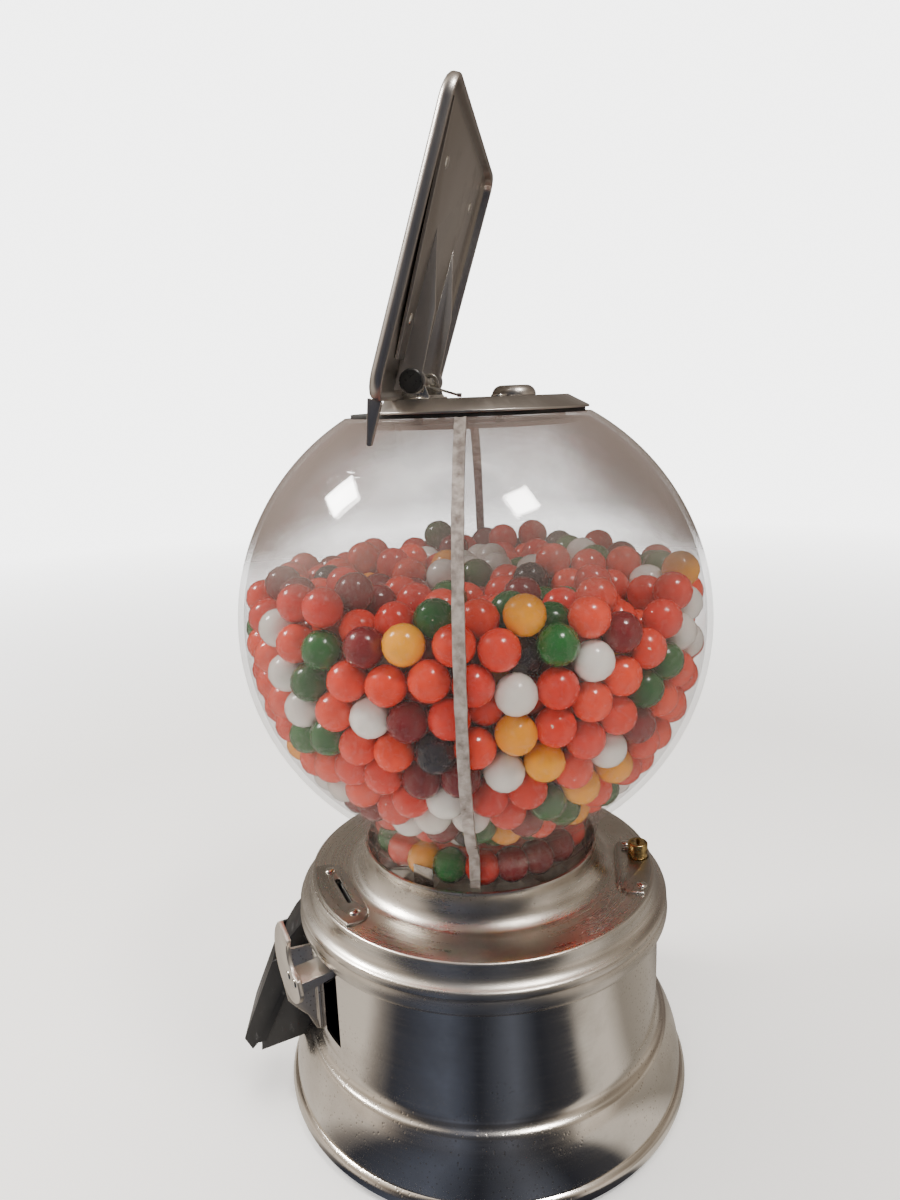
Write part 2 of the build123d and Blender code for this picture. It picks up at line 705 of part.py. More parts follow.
with BuildPart() as wheel_nut:
    with BuildSketch(Plane.XY.offset(WHEEL_TOP + CLEAR + 1.2)):
        RegularPolygon(7.6, 6)
        Circle(STUD_R, mode=Mode.SUBTRACT)
    extrude(amount=3.6)
keep(wheel_nut, "wheel_nut")

# The slide runs along the lever's bearing and pulls the ratchet round.
BAR_Y = 17.0
with BuildPart() as drive_slide:
    with BuildSketch(turned(LEVER_AZ, DECK + 0.3)):
        with Locations((16.0, BAR_Y)):
            Rectangle(48.0, 7.0)
        with Locations((37.6, BAR_Y / 2 + 1.0)):
            Rectangle(6.8, BAR_Y + 5.0)
        with Locations((0, RATCHET_R + 1.6)):
            Rectangle(4.0, 2.6)
        with Locations((4, BAR_Y), (20, BAR_Y)):
            SlotCenterToCenter(8.4, 3.2, mode=Mode.SUBTRACT)
    extrude(amount=2.2)
    with BuildSketch(turned(LEVER_AZ, DECK + 0.3)):
        with Locations((PIVOT_R + 4.4, 0)):
            Rectangle(2.0, 2 * HUB_HALF - 0.4)
    extrude(amount=-(DECK + 0.3 - 78.5))
keep(drive_slide, "drive_slide")

with BuildPart() as slide_rivets:               # shouldered rivets the slide runs on
    with BuildSketch(turned(LEVER_AZ, DECK)):
        with Locations((8.0, BAR_Y), (24.0, BAR_Y)):
            Circle(1.45)
    extrude(amount=2.7)
    with BuildSketch(turned(LEVER_AZ, DECK + 2.7)):
        with Locations((8.0, BAR_Y), (24.0, BAR_Y)):
            Circle(2.3)
    extrude(amount=0.4)
keep(slide_rivets, "slide_rivets")

# ---------------------------------------------------------------- lever
with BuildPart() as lever_bracket:              # hangs the lever's pivot under the deck
    with BuildSketch(turned(LEVER_AZ, BODY_TOP)):
        with Locations((PIVOT_R - 3.5, 0)):
            Rectangle(4.0, 2 * HUB_HALF + 3.0)
    extrude(amount=-1.2)
    for side in (-1, 1):
        with BuildSketch(upright(LEVER_AZ, side * (HUB_HALF + 0.9))):
            with BuildLine():
                Polyline(
                    (PIVOT_R - 5.5, BODY_TOP), (PIVOT_R + 5, BODY_TOP),
                    (PIVOT_R + 4.6, PIVOT_Z),
                )
                ThreePointArc(
                    (PIVOT_R + 4.6, PIVOT_Z), (PIVOT_R, PIVOT_Z - 4.6), (PIVOT_R - 4.6, PIVOT_Z),
                )
                Line((PIVOT_R - 4.6, PIVOT_Z), (PIVOT_R - 5.5, BODY_TOP))
            make_face()
            with Locations((PIVOT_R, PIVOT_Z)):
                Circle(2.0, mode=Mode.SUBTRACT)
        extrude(amount=0.6, both=True)
keep(lever_bracket, "lever_bracket")

with BuildPart() as lever_pin:
    with BuildSketch(upright(LEVER_AZ)):
        with Locations((PIVOT_R, PIVOT_Z)):
            Circle(2.0)
    extrude(amount=HUB_HALF + 2.4, both=True)
keep(lever_pin, "lever_pin")

with BuildPart() as lever_arm:
    with BuildSketch(upright(LEVER_AZ)):
        with BuildLine():
            Polyline(
                (PIVOT_R + 3.0, PIVOT_Z - 3.0), (48, LEVER_Z), (BLADE_R, LEVER_Z),
                (BLADE_R, LEVER_Z + 1.6), (47.2, LEVER_Z + 1.6), (PIVOT_R + 1.4, PIVOT_Z + 9),
                (PIVOT_R + 1.4, PIVOT_Z + CRANK), (PIVOT_R - 1.4, PIVOT_Z + CRANK),
                (PIVOT_R - 4.0, PIVOT_Z), (PIVOT_R - 2.4, PIVOT_Z - 3.4),
                (PIVOT_R + 3.0, PIVOT_Z - 3.0),
            )
        make_face()
        with Locations((PIVOT_R, PIVOT_Z)):
            Circle(2.0 + RUN, mode=Mode.SUBTRACT)
    extrude(amount=LEVER_W / 2, both=True)
    for side in (-1, 1):                        # narrow inner end, between the bracket's cheeks
        with BuildSketch(turned(LEVER_AZ, PIVOT_Z - 10)):
            with Locations((PIVOT_R, side * (HUB_HALF + 5))):
                Rectangle(36, 10)
        extrude(amount=40, mode=Mode.SUBTRACT)
    with BuildSketch(upright(LEVER_AZ, LEVER_W / 2 - 1.2)):     # turned-down near edge
        with BuildLine():
            Polyline(
                (66, LEVER_Z), (BLADE_R, LEVER_Z), (BLADE_R, LEVER_Z - 3.4), (66, LEVER_Z),
            )
        make_face()
    extrude(amount=-1.2)
keep(lever_arm, "lever_arm")

with BuildPart() as lever_blade:                # crescent thumb piece, thin side outwards
    face = upright(LEVER_AZ + 90)
    with BuildSketch(Plane(
        origin=turned(LEVER_AZ).from_local_coords(Vector(BLADE_R, 0, 0)),
        x_dir=face.x_dir, z_dir=turned(LEVER_AZ).x_dir,
    )):
        with BuildLine():
            ThreePointArc((-9.5, 97.5), (-15.8, 81.0), (-6.5, 67.6))
            ThreePointArc((-6.5, 67.6), (1.4, 67.4), (7.6, 74.0))
            Line((7.6, 74.0), (5.6, 79.5))
            ThreePointArc((5.6, 79.5), (-2.8, 84.5), (-1.6, 92.4))
            Line((-1.6, 92.4), (-9.5, 97.5))
        make_face()
    extrude(amount=2.0)
    fillet(lever_blade.edges().filter_by(Axis(
        origin=(0, 0, 0), direction=turned(LEVER_AZ).x_dir)), 0.8)
keep(lever_blade, "lever_blade")

with BuildPart() as lever_rivets:
    with BuildSketch(Plane(
        origin=turned(LEVER_AZ).from_local_coords(Vector(BLADE_R + 2.0, 0, 0)),
        x_dir=face.x_dir, z_dir=turned(LEVER_AZ).x_dir,
    )):
        with Locations((-3.0, LEVER_Z + 0.8), (3.0, LEVER_Z + 0.8)):
            Circle(1.8)
    extrude(amount=0.9)
keep(lever_rivets, "lever_rivets")

SPRING_AT = 56.0
with BuildPart() as lever_spring:               # pulls the strap up against the deck
    with BuildSketch(turned(LEVER_AZ, LEVER_Z + 1.6)):
        with Locations((SPRING_AT, 0)):
            Circle(3.0)
            Circle(2.1, mode=Mode.SUBTRACT)
    extrude(amount=BODY_TOP - LEVER_Z - 1.6)
keep(lever_spring, "lever_spring")

# ---------------------------------------------------------------- ball ramp
RAMP_HALF = 8.4
RAMP_IN, RAMP_OUT = (-24.0, 56.0), (-73.6, 33.0)        # floor line, (y, z)
with BuildPart() as ball_ramp:
    with BuildSketch(Plane.YZ):
        with BuildLine():
            Polyline(
                RAMP_IN, RAMP_OUT, (RAMP_OUT[0], RAMP_OUT[1] + 13), (-43, 62), (-43, BODY_TOP),
                (RAMP_IN[0], BODY_TOP), RAMP_IN,
            )
        make_face()
    extrude(amount=RAMP_HALF + SHEET, both=True)
    with BuildSketch(Plane.YZ):
        with BuildLine():
            Polyline(
                (RAMP_IN[0] - 1, RAMP_IN[1] + 0.9), (RAMP_OUT[0] - 1, RAMP_OUT[1] + 0.9),
                (RAMP_OUT[0] - 1, 90), (RAMP_IN[0] - 1, 90), (RAMP_IN[0] - 1, RAMP_IN[1] + 0.9),
            )
        make_face()
    extrude(amount=RAMP_HALF, both=True, mode=Mode.SUBTRACT)
keep(ball_ramp, "ball_ramp")


# ---------------------------------------------------------------- chute
def body_outside():
    """Solid of revolution a hair larger than the base, to fit pieces against it."""
    with BuildPart() as core:
        with BuildSketch(Plane.XZ):
            add(base_outline(-0.02))
            make_face()
        revolve(axis=Axis.Z)
        with BuildSketch(Plane.XY.offset(80.9)):
            Circle(79.6)
        extrude(amount=12)
    return core.part


OUTSIDE = body_outside()

with BuildPart() as chute_housing:              # black hood, cheeks and floor
    for side in (-1, 1):
        with BuildSketch(Plane.YZ.offset(side * (CHUTE_HALF - 0.6))):
            with BuildLine():
                Polyline(
                    (-70, 79.8), (-78.5, 79.8), (-84.0, 73.4), (-88.6, 66.0), (-87.0, 52.0),
                    (-99.4, 24.0), (-99.8, 19.4), (-82.7, 25.4), (-70, 31.0), (-70, 79.8),
                )
            make_face()
        extrude(amount=0.6, both=True)
    with BuildSketch(Plane.YZ):                 # hood
        with BuildLine():
            Polyline(
                (-70, 79.8), (-78.5, 79.8), (-84.0, 73.4), (-88.6, 66.0), (-87.6, 65.4),
                (-83.0, 72.7), (-78.0, 78.6), (-70, 78.6), (-70, 79.8),
            )
        make_face()
    extrude(amount=CHUTE_HALF, both=True)
    with BuildSketch(Plane.YZ):                 # floor with a low lip
        with BuildLine():
            Polyline(
                (-70, 31.0), (-82.7, 25.4), (-99.8, 19.4), (-99.4, 24.0), (-98.2, 24.0),
                (-98.6, 21.1), (-82.4, 26.7), (-70, 32.2), (-70, 31.0),
            )
        make_face()
    extrude(amount=CHUTE_HALF, both=True)
    for side in (-1, 1):                        # flanges riveted to the base
        with BuildSketch(Plane.XZ.offset(70)):
            with Locations((side * (CHUTE_HALF + 1.8), 57)):
                Rectangle(6.0, 40)
        extrude(amount=5.0)
    with BuildSketch(Plane.YZ):
        with Locations((DOOR_Y, DOOR_Z)):
            Circle(DOOR_PIN_R)
    extrude(amount=30, both=True, mode=Mode.SUBTRACT)
    add(OUTSIDE, mode=Mode.SUBTRACT)
keep(chute_housing, "chute_housing")

with BuildPart() as chute_door:                 # leaning front flap with turned-back cheeks
    for side in (-1, 1):
        with BuildSketch(Plane.YZ.offset(side * (DOOR_HALF + 0.6))):
            with BuildLine():
                Polyline(
                    (DOOR_Y - 2.0, DOOR_Z + 3.0), (-91.4, 64.2), (-106.3, 27.2),
                    (-103.2, 21.6), (-100.6, 24.6), (-97.0, 25.2), (-88.5, 44.0), (-82.5, 57.0),
                    (DOOR_Y - 1.6, DOOR_Z - 3.2),
                )
                ThreePointArc(
                    (DOOR_Y - 1.6, DOOR_Z - 3.2), (DOOR_Y + 3.6, DOOR_Z),
                    (DOOR_Y - 2.0, DOOR_Z + 3.0),
                )
            make_face()
            with Locations((DOOR_Y, DOOR_Z)):
                Circle(DOOR_PIN_R + RUN, mode=Mode.SUBTRACT)
        extrude(amount=0.6, both=True)
    with BuildSketch(Plane.YZ):
        with BuildLine():
            Polyline(
                (-91.4, 64.2), (-106.3, 27.2), (-103.2, 21.6), (-102.2, 22.2), (-105.0, 27.3),
                (-90.3, 63.8), (-91.4, 64.2),
            )
        make_face()
    extrude(amount=DOOR_HALF, both=True)
keep(chute_door, "chute_door")

with BuildPart() as chute_pins:
    for side in (-1, 1):
        with BuildSketch(Plane.YZ.offset(side * (CHUTE_HALF - 1.2))):
            with Locations((DOOR_Y, DOOR_Z)):
                Circle(DOOR_PIN_R)
        extrude(amount=side * 3.2)
        with BuildSketch(Plane.YZ.offset(side * (CHUTE_HALF + 2.0))):
            with Locations((DOOR_Y, DOOR_Z)):
                Circle(2.3)
        extrude(amount=side * 1.1)
keep(chute_pins, "chute_pins")

with BuildPart() as lever_guard:                # plated wing between chute and lever
    with BuildSketch(upright(GUARD_AZ)):
        with BuildLine():
            Polyline((73, 76), (90.6, 76), (89.0, 60), (87.8, 52.1))
            ThreePointArc((87.8, 52.1), (84.6, 48.0), (80.1, 43.1))
            Polyline((80.1, 43.1), (76.8, 35.7), (73, 34), (73, 76))
        make_face()
    extrude(amount=0.6, both=True)
    with BuildSketch(turned(GUARD_AZ, 40)):     # foot lying on the base
        with Locations((74.5, 3.4)):
            Rectangle(3.4, 6.8)
    extrude(amount=34)
    add(OUTSIDE, mode=Mode.SUBTRACT)
keep(lever_guard, "lever_guard")
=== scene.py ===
"""Looks for a push-lever gumball machine, laid out as an add-on and run as a script."""

import json
from math import atan2, cos, pi, radians, sin, sqrt

import bmesh
import bpy
import numpy as np
from bpy.props import FloatProperty, FloatVectorProperty, IntProperty, PointerProperty
from mathutils import Matrix, Vector


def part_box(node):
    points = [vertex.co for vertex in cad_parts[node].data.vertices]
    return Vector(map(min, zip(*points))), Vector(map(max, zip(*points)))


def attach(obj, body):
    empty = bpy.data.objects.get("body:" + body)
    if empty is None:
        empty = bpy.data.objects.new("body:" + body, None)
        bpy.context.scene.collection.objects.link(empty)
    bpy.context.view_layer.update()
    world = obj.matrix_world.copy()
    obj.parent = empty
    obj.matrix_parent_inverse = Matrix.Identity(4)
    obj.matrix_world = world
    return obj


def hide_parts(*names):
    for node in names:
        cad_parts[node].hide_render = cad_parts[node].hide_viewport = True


bl_info = {
    "name": "Gumball machine",
    "version": (1, 0, 0),
    "blender": (4, 5, 0),
    "location": "3D View > Sidebar > Gumball",
    "description": "Builds the plated base, the clear globe of gumballs and the sprung lid",
    "category": "Add Mesh",
}

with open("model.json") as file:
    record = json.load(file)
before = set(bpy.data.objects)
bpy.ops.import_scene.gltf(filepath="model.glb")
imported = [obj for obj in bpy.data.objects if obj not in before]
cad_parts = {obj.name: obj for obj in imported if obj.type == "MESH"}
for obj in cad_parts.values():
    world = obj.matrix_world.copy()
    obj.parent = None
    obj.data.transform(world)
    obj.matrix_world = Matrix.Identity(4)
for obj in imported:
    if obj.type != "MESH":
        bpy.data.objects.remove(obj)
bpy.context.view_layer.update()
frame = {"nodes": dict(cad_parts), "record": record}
MM = 0.001

# ---------------------------------------------------------------- sizes, in millimetres
SHEET = 1.0
FLOOR_LIP = 0.9                 # underside of the rolled base rim
BODY_R, BODY_TOP = 75.2, 86.0
CAP_LOW = 81.2
SHOULDER_R, SHOULDER_Z = 73.6, 99.2
COLLAR_R, COLLAR_TOP = 49.6, 112.0
GLOBE_R, GLOBE_Z, GLOBE_WALL = 93.5, 207.4, 2.2
NECK_R, NECK_Z = 48.2, 102.0
GLOBE_TOP, MOUTH_R = 288.0, 37.5
SEAM_W = 3.8
SEAM_AT = 353.0                 # bearings, in degrees from +X
CHUTE_AT, COIN_AT, LEVER_AT, TOP_AT = 270.0, 291.0, 300.0, 80.0
PIN_X, PIN_Z, LUG_Y = -17.0, 300.7, 19.8
LID_OPEN = 72.3
LID_W, LID_L, LID_BACK, LID_UNDER, LID_RIM = 97.5, 135.2, -8.0, 6.2, 3.6
CROWN_R, CROWN = 1500.0, 1.5
BALL_R = 7.1
BALL_LEVEL = 236.0
EYE_AT = 356.0                  # bearing of the camera
EYE_TURN = EYE_AT - 270.0       # its turn from the -Y side
EYE_PITCH, EYE_ROLL, EYE_YAW = 13.222, -2.135, 1.599        # degrees
EYE_LENS = 25.8
STAGE_R = 1.9                   # floor and room tones, in metres


# ---------------------------------------------------------------- settings
class PlatingSettings(bpy.types.PropertyGroup):
    """Nickel plate of the base, cap and plates."""

    tint: FloatVectorProperty(
        name="Plate", description="Colour of clean nickel plate", subtype="COLOR",
        default=(0.78, 0.735, 0.67), min=0, max=1,
    )
    tarnish: FloatVectorProperty(
        name="Tarnish", description="Colour where the plate is worn and stained", subtype="COLOR",
        default=(0.36, 0.31, 0.25), min=0, max=1,
    )
    segments: IntProperty(
        name="Segments", description="Facets round each spun shell", default=192, min=48, max=384,
    )


class GlobeSettings(bpy.types.PropertyGroup):
    """Clear plastic globe."""

    tint: FloatVectorProperty(
        name="Plastic", description="Tint of the aged clear plastic", subtype="COLOR",
        default=(0.20, 0.160, 0.142), min=0, max=1,
    )
    haze: FloatProperty(
        name="Haze", description="Share of light that one face of the aged plastic stops",
        default=0.085, min=0, max=1, subtype="FACTOR",
    )
    # How many times thicker the haze film is above the top of the heap
    film_above_heap: FloatProperty(
        name="Film above heap", description="How much thicker the film is over the heap",
        default=4.0, min=1, max=5,
    )


class CandySettings(bpy.types.PropertyGroup):
    """The heap of gumballs."""

    count: IntProperty(
        name="Gumballs", description="Balls in the globe", default=1000, min=50, max=1200,
    )
    radius: FloatProperty(
        name="Radius", description="Radius of one gumball", default=BALL_R * MM,
        min=0.004, max=0.012, subtype="DISTANCE", unit="LENGTH",
    )
    seed: IntProperty(name="Seed", description="Seed of the heap", default=7, min=0)


class SheetSettings(bpy.types.PropertyGroup):
    """Pressed sheet pieces and their edges."""

    edge: FloatProperty(
        name="Edge", description="Width of the broken edges on sheet and turned pieces",
        default=0.00022, min=0, max=0.001, subtype="DISTANCE", unit="LENGTH",
    )
    rivet_rings: IntProperty(
        name="Rivet rings", description="Rings of facets on a rivet's dome",
        default=5, min=2, max=12,
    )


class StageSettings(bpy.types.PropertyGroup):
    """Floor, lights and camera."""

    floor: FloatVectorProperty(
        name="Floor", description="Colour of the plain floor", subtype="COLOR",
        default=(0.86, 0.855, 0.845), min=0, max=1,
    )
    eye_distance: FloatProperty(
        name="Eye distance", description="Camera to the machine's axis", default=0.340,
        min=0.1, max=3, subtype="DISTANCE", unit="LENGTH",
    )
    eye_height: FloatProperty(
        name="Eye height", description="Camera above the floor", default=0.2944,
        min=0, max=2, subtype="DISTANCE", unit="LENGTH",
    )


GROUPS = {
    "plating": PlatingSettings, "globe": GlobeSettings, "candy": CandySettings,
    "sheet": SheetSettings, "stage": StageSettings,
}


def settings(group):
    """One settings group of this scene."""
    return getattr(bpy.context.scene, "gumball_" + group)


# ---------------------------------------------------------------- node helpers
class Shader:
    """Short way to write a material's nodes."""

    def __init__(self, name, **fixed):
        self.material = bpy.data.materials.get(name) or bpy.data.materials.new(name)
        self.material.use_nodes = True
        self.tree = self.material.node_tree
        self.tree.nodes.clear()
        out = self.tree.nodes.new("ShaderNodeOutputMaterial")
        self.bsdf = self.tree.nodes.new("ShaderNodeBsdfPrincipled")
        self.link(self.bsdf.outputs[0], out.inputs["Surface"])
        for key, value in fixed.items():
            socket = self.bsdf.inputs[key.replace("_", " ")]
            socket.default_value = (*value, 1.0) if isinstance(value, tuple) else value
        self.place = self.add("ShaderNodeTexCoord").outputs["Object"]

    def link(self, a, b):
        self.tree.links.new(a, b)

    def add(self, kind, **inputs):
        """A node with its inputs set or linked, by name."""
        node = self.tree.nodes.new(kind)
        for key, value in inputs.items():
            self.feed(node.inputs[key.replace("_", " ")], value)
        return node

    def feed(self, socket, value):
        if isinstance(value, bpy.types.NodeSocket):
            self.link(value, socket)
        elif isinstance(value, tuple) and len(value) == 3 and socket.type == "RGBA":
            socket.default_value = (*value, 1.0)
        else:
            socket.default_value = value

    def maths(self, operation, a, b=0.0, clamp=False):
        node = self.tree.nodes.new("ShaderNodeMath")
        node.operation = operation
        node.use_clamp = clamp
        self.feed(node.inputs[0], a)
        self.feed(node.inputs[1], b)
        return node.outputs[0]

    def noise(self, scale, detail=4.0, vector=None, roughness=0.55):
        return self.add(
            "ShaderNodeTexNoise", Vector=vector or self.place, Scale=scale, Detail=detail,
            Roughness=roughness,
        ).outputs[0]

    def cells(self, scale, vector=None):
        return self.add("ShaderNodeTexVoronoi", Vector=vector or self.place, Scale=scale).outputs[0]

    def band(self, value, low, high, to_low=0.0, to_high=1.0):
        """value mapped from low..high to to_low..to_high, clamped."""
        node = self.tree.nodes.new("ShaderNodeMapRange")
        node.clamp = True
        for index, item in enumerate((value, low, high, to_low, to_high)):
            self.feed(node.inputs[index], item)
        return node.outputs[0]

    def mix(self, factor, a, b):
        node = self.tree.nodes.new("ShaderNodeMix")
        node.data_type = "RGBA"
        self.feed(node.inputs["Factor"], factor)
        self.feed(node.inputs[6], a)
        self.feed(node.inputs[7], b)
        return node.outputs[2]

    def bump(self, height, distance, strength=1.0):
        node = self.add("ShaderNodeBump", Strength=strength, Distance=distance, Height=height)
        self.link(node.outputs[0], self.bsdf.inputs["Normal"])

    def set(self, key, value):
        self.feed(self.bsdf.inputs[key], value)

    def rings(self, scale, squeeze=0.02):
        """Coordinates that run in rings round the machine's axis."""
        part = self.add("ShaderNodeSeparateXYZ", Vector=self.place)
        x, y, z = part.outputs
        radius = self.maths("SQRT", self.maths("ADD", self.maths("MULTIPLY", x, x),
                                               self.maths("MULTIPLY", y, y)))
        angle = self.maths("ARCTAN2", y, x)
        return self.add(
            "ShaderNodeCombineXYZ", X=self.maths("MULTIPLY", radius, scale),
            Y=self.maths("MULTIPLY", z, scale), Z=self.maths("MULTIPLY", angle, squeeze * 40),
        ).outputs[0]

    def stretched(self, x, y, z):
        """Object coordinates scaled by a different amount along each axis."""
        node = self.add("ShaderNodeMapping", Vector=self.place)
        node.inputs["Scale"].default_value = (x, y, z)
        return node.outputs[0]


# ---------------------------------------------------------------- materials
def plated_nickel(name="plated_nickel", gloss=0.11, shade=1.0):
    """Old nickel plate: brushed in rings, stained, pitted in patches. A shade other than 1 scales
    both colours into a lighter or darker copy of the plating: painted light or painted shade.
    """
    look = settings("plating")
    s = Shader(name, Metallic=1.0)
    stain = s.band(s.noise(26, 7, roughness=0.62), 0.46, 0.74)
    pits = s.band(s.cells(560), 0.0, 0.30, 1.0, 0.0)
    patch = s.band(s.noise(19, 4, roughness=0.62), 0.42, 0.56)
    pitted = s.maths("MULTIPLY", pits, patch)
    brushed = s.noise(1.0, 5, s.rings(900))
    dull = s.maths("MAXIMUM", s.maths("MULTIPLY", stain, 0.5), pitted)
    # shade brightens or darkens both colours of this copy of the plating: painted light or painted
    # shade
    tint = tuple(shade * c for c in look.tint)
    s.set("Base Color", s.mix(dull, tint, tuple(shade * c for c in look.tarnish)))
    smooth = s.band(brushed, 0.3, 0.7, gloss, gloss + 0.09)
    s.set("Roughness", s.maths("ADD", smooth, s.maths("MULTIPLY", dull, 0.26)))
    height = s.maths("SUBTRACT", s.maths("MULTIPLY", brushed, 0.25), pitted)
    s.bump(height, 0.00010, 0.45)
    return s.material


def worn_steel(name, tint, stain_tint, gloss=0.24):
    """Dull plated sheet with scratches, smears and dark stains."""
    s = Shader(name, Metallic=1.0)
    smear = s.noise(1.0, 3, s.stretched(40, 12, 20), 0.5)
    stain = s.band(s.noise(30, 6, roughness=0.6), 0.56, 0.76)
    spots = s.band(s.cells(240), 0.0, 0.16, 1.0, 0.0)
    dirty = s.maths("MAXIMUM", s.maths("MULTIPLY", stain, 0.6), s.maths("MULTIPLY", spots, stain))
    s.set("Base Color", s.mix(dirty, tint, stain_tint))
    fine = s.noise(1.0, 4, s.stretched(2200, 120, 400), 0.5)
    s.set("Roughness", s.maths("ADD", s.band(smear, 0.3, 0.7, gloss - 0.03, gloss + 0.06),
                               s.maths("MULTIPLY", dirty, 0.22)))
    s.bump(s.maths("ADD", s.maths("MULTIPLY", fine, 0.3), dirty), 0.00005, 0.3)
    return s.material


def black_enamel():
    """Black stove enamel with faint orange peel and grey scuffs."""
    s = Shader("black_enamel", IOR=1.5)
    scuff = s.band(s.noise(1.0, 6, s.stretched(60, 240, 130), 0.7), 0.60, 0.74)
    s.set("Base Color", s.mix(scuff, (0.012, 0.012, 0.013), (0.10, 0.10, 0.10)))
    s.set("Roughness", s.band(s.noise(70, 4), 0.3, 0.7, 0.30, 0.46))
    s.bump(s.noise(900, 2), 0.00005, 0.25)
    return s.material


def clear_plastic():
    """Aged clear plastic: a thin warm film of haze, thicker where seen edge on and above the heap,
    and scratches.
    """
    look = settings("globe")
    s = Shader("clear_plastic", IOR=2.4)
    cloud = s.noise(16, 5)
    scratch_a = s.band(s.noise(1.0, 3, s.stretched(1600, 90, 70), 0.5), 0.66, 0.74)
    scratch_b = s.band(s.noise(1.0, 3, s.stretched(60, 150, 1500), 0.5), 0.67, 0.75)
    scratch = s.maths("MAXIMUM", scratch_a, scratch_b)
    tint = tuple(look.tint)
    s.set("Base Color", s.mix(s.band(cloud, 0.35, 0.7), tint, tuple(0.8 * c for c in tint)))
    edge_on = s.add("ShaderNodeLayerWeight", Blend=0.5).outputs["Facing"]
    film = s.band(edge_on, 0.25, 1.0, look.haze, look.haze * 3.2)
    film = s.maths("MULTIPLY", film, s.band(cloud, 0.35, 0.7, 0.8, 1.25))
    height = s.add("ShaderNodeSeparateXYZ", Vector=s.place).outputs[2]
    # The film grows thicker from 232 to 246 mm up, above the top of the heap
    film = s.maths("MULTIPLY", film, s.band(height, 0.232, 0.246, 1.0, look.film_above_heap))
    s.set("Alpha", s.maths("ADD", film, s.maths("MULTIPLY", scratch, 0.05)))
    s.set("Roughness", s.maths("ADD", s.band(cloud, 0.3, 0.7, 0.03, 0.07),
                               s.maths("MULTIPLY", scratch, 0.10)))
    s.bump(scratch, 0.00003, 0.25)
    return s.material


def seam_cement():
    """Dried solvent cement: mottled brown-grey, wrinkled and half glossy."""
    s = Shader("seam_cement", IOR=1.48)
    mottle = s.noise(260, 6, roughness=0.65)
    pale = s.mix(s.band(mottle, 0.38, 0.62), (0.16, 0.13, 0.115), (0.34, 0.30, 0.27))
    s.set("Base Color", pale)
    s.set("Roughness", s.band(mottle, 0.3, 0.7, 0.25, 0.5))
    s.bump(s.noise(500, 5), 0.0003, 0.5)
    return s.material


def candy(name, shade, deep):
    """Hard sugar shell: small colour drift from ball to ball, mottle and tiny chips."""
    s = Shader("candy_" + name, IOR=1.5, Coat_Weight=0.35, Coat_Roughness=0.06)
    drift = s.add("ShaderNodeAttribute")
    drift.attribute_name = "drift"
    mottle = s.band(s.noise(420, 4), 0.35, 0.7)
    toned = s.mix(drift.outputs["Fac"], shade, deep)
    toned = s.mix(s.maths("MULTIPLY", mottle, 0.22), toned, tuple(0.6 * c for c in deep))
    chip = s.band(s.noise(330, 2), 0.755, 0.775)
    s.set("Base Color", s.mix(chip, toned, (0.78, 0.68, 0.55)))
    s.set("Roughness", s.band(mottle, 0, 1, 0.16, 0.34))
    s.set("Subsurface Weight", 0.06)
    s.bsdf.inputs["Subsurface Scale"].default_value = 0.002
    s.bump(s.maths("SUBTRACT", s.maths("MULTIPLY", mottle, 0.3), chip), 0.00008, 0.3)
    return s.material


def brass():
    """Dull lock brass with dark grime in the low spots."""
    s = Shader("dull_brass", Metallic=1.0)
    grime = s.band(s.noise(420, 5), 0.42, 0.62)
    s.set("Base Color", s.mix(grime, (0.58, 0.42, 0.18), (0.17, 0.11, 0.05)))
    s.set("Roughness", s.band(grime, 0, 1, 0.25, 0.5))
    s.bump(grime, 0.00005, 0.3)
    return s.material


def moulded(name, tint, shade, rough):
    """Plain moulded plastic or rubber with a fine grain."""
    s = Shader(name, IOR=1.48)
    grain = s.noise(650, 3)
    s.set("Base Color", s.mix(s.band(s.noise(60, 4), 0.35, 0.7), tint, shade))
    s.set("Roughness", s.band(grain, 0.3, 0.7, rough - 0.06, rough + 0.08))
    s.bump(grain, 0.00005, 0.25)
    return s.material


def zinc():
    """Zinc-plated mechanism steel: spangled, faintly rainbowed."""
    s = Shader("zinc_steel", Metallic=1.0)
    spangle = s.cells(210)
    s.set("Base Color", s.mix(s.band(spangle, 0.1, 0.6), (0.60, 0.60, 0.59), (0.46, 0.46, 0.45)))
    s.set("Roughness", s.band(s.noise(120, 4), 0.3, 0.7, 0.26, 0.44))
    s.bump(s.noise(700, 3), 0.00004, 0.2)
    return s.material


def lid_steel():
    """Dull steel of the lid, its panel and the top plate."""
    return worn_steel("lid_steel", (0.50, 0.465, 0.43), (0.17, 0.15, 0.13), 0.33)


def rivet_steel():
    """Satin steel of rivets, screws and pins."""
    return worn_steel("rivet_steel", (0.70, 0.68, 0.63), (0.30, 0.27, 0.23), 0.16)


CANDY = {      # colour, deeper colour, share of the heap
    "red_orange": ((0.82, 0.050, 0.010), (0.62, 0.020, 0.010), 0.50),
    "maroon": ((0.22, 0.008, 0.014), (0.14, 0.006, 0.010), 0.13),
    "white": ((0.82, 0.79, 0.74), (0.72, 0.68, 0.62), 0.15),
    "green": ((0.006, 0.13, 0.022), (0.005, 0.085, 0.018), 0.11),
    "yellow": ((0.92, 0.38, 0.004), (0.82, 0.29, 0.006), 0.07),
    "blue_black": ((0.014, 0.018, 0.026), (0.010, 0.012, 0.016), 0.04),
}


# ---------------------------------------------------------------- mesh helpers
def spot(bearing, radius, z, side=0.0):
    """Point at this bearing, radius and height, moved sideways (millimetres in, metres out)."""
    a = radians(bearing)
    return Vector((
        radius * cos(a) - side * sin(a), radius * sin(a) + side * cos(a), z,
    )) * MM


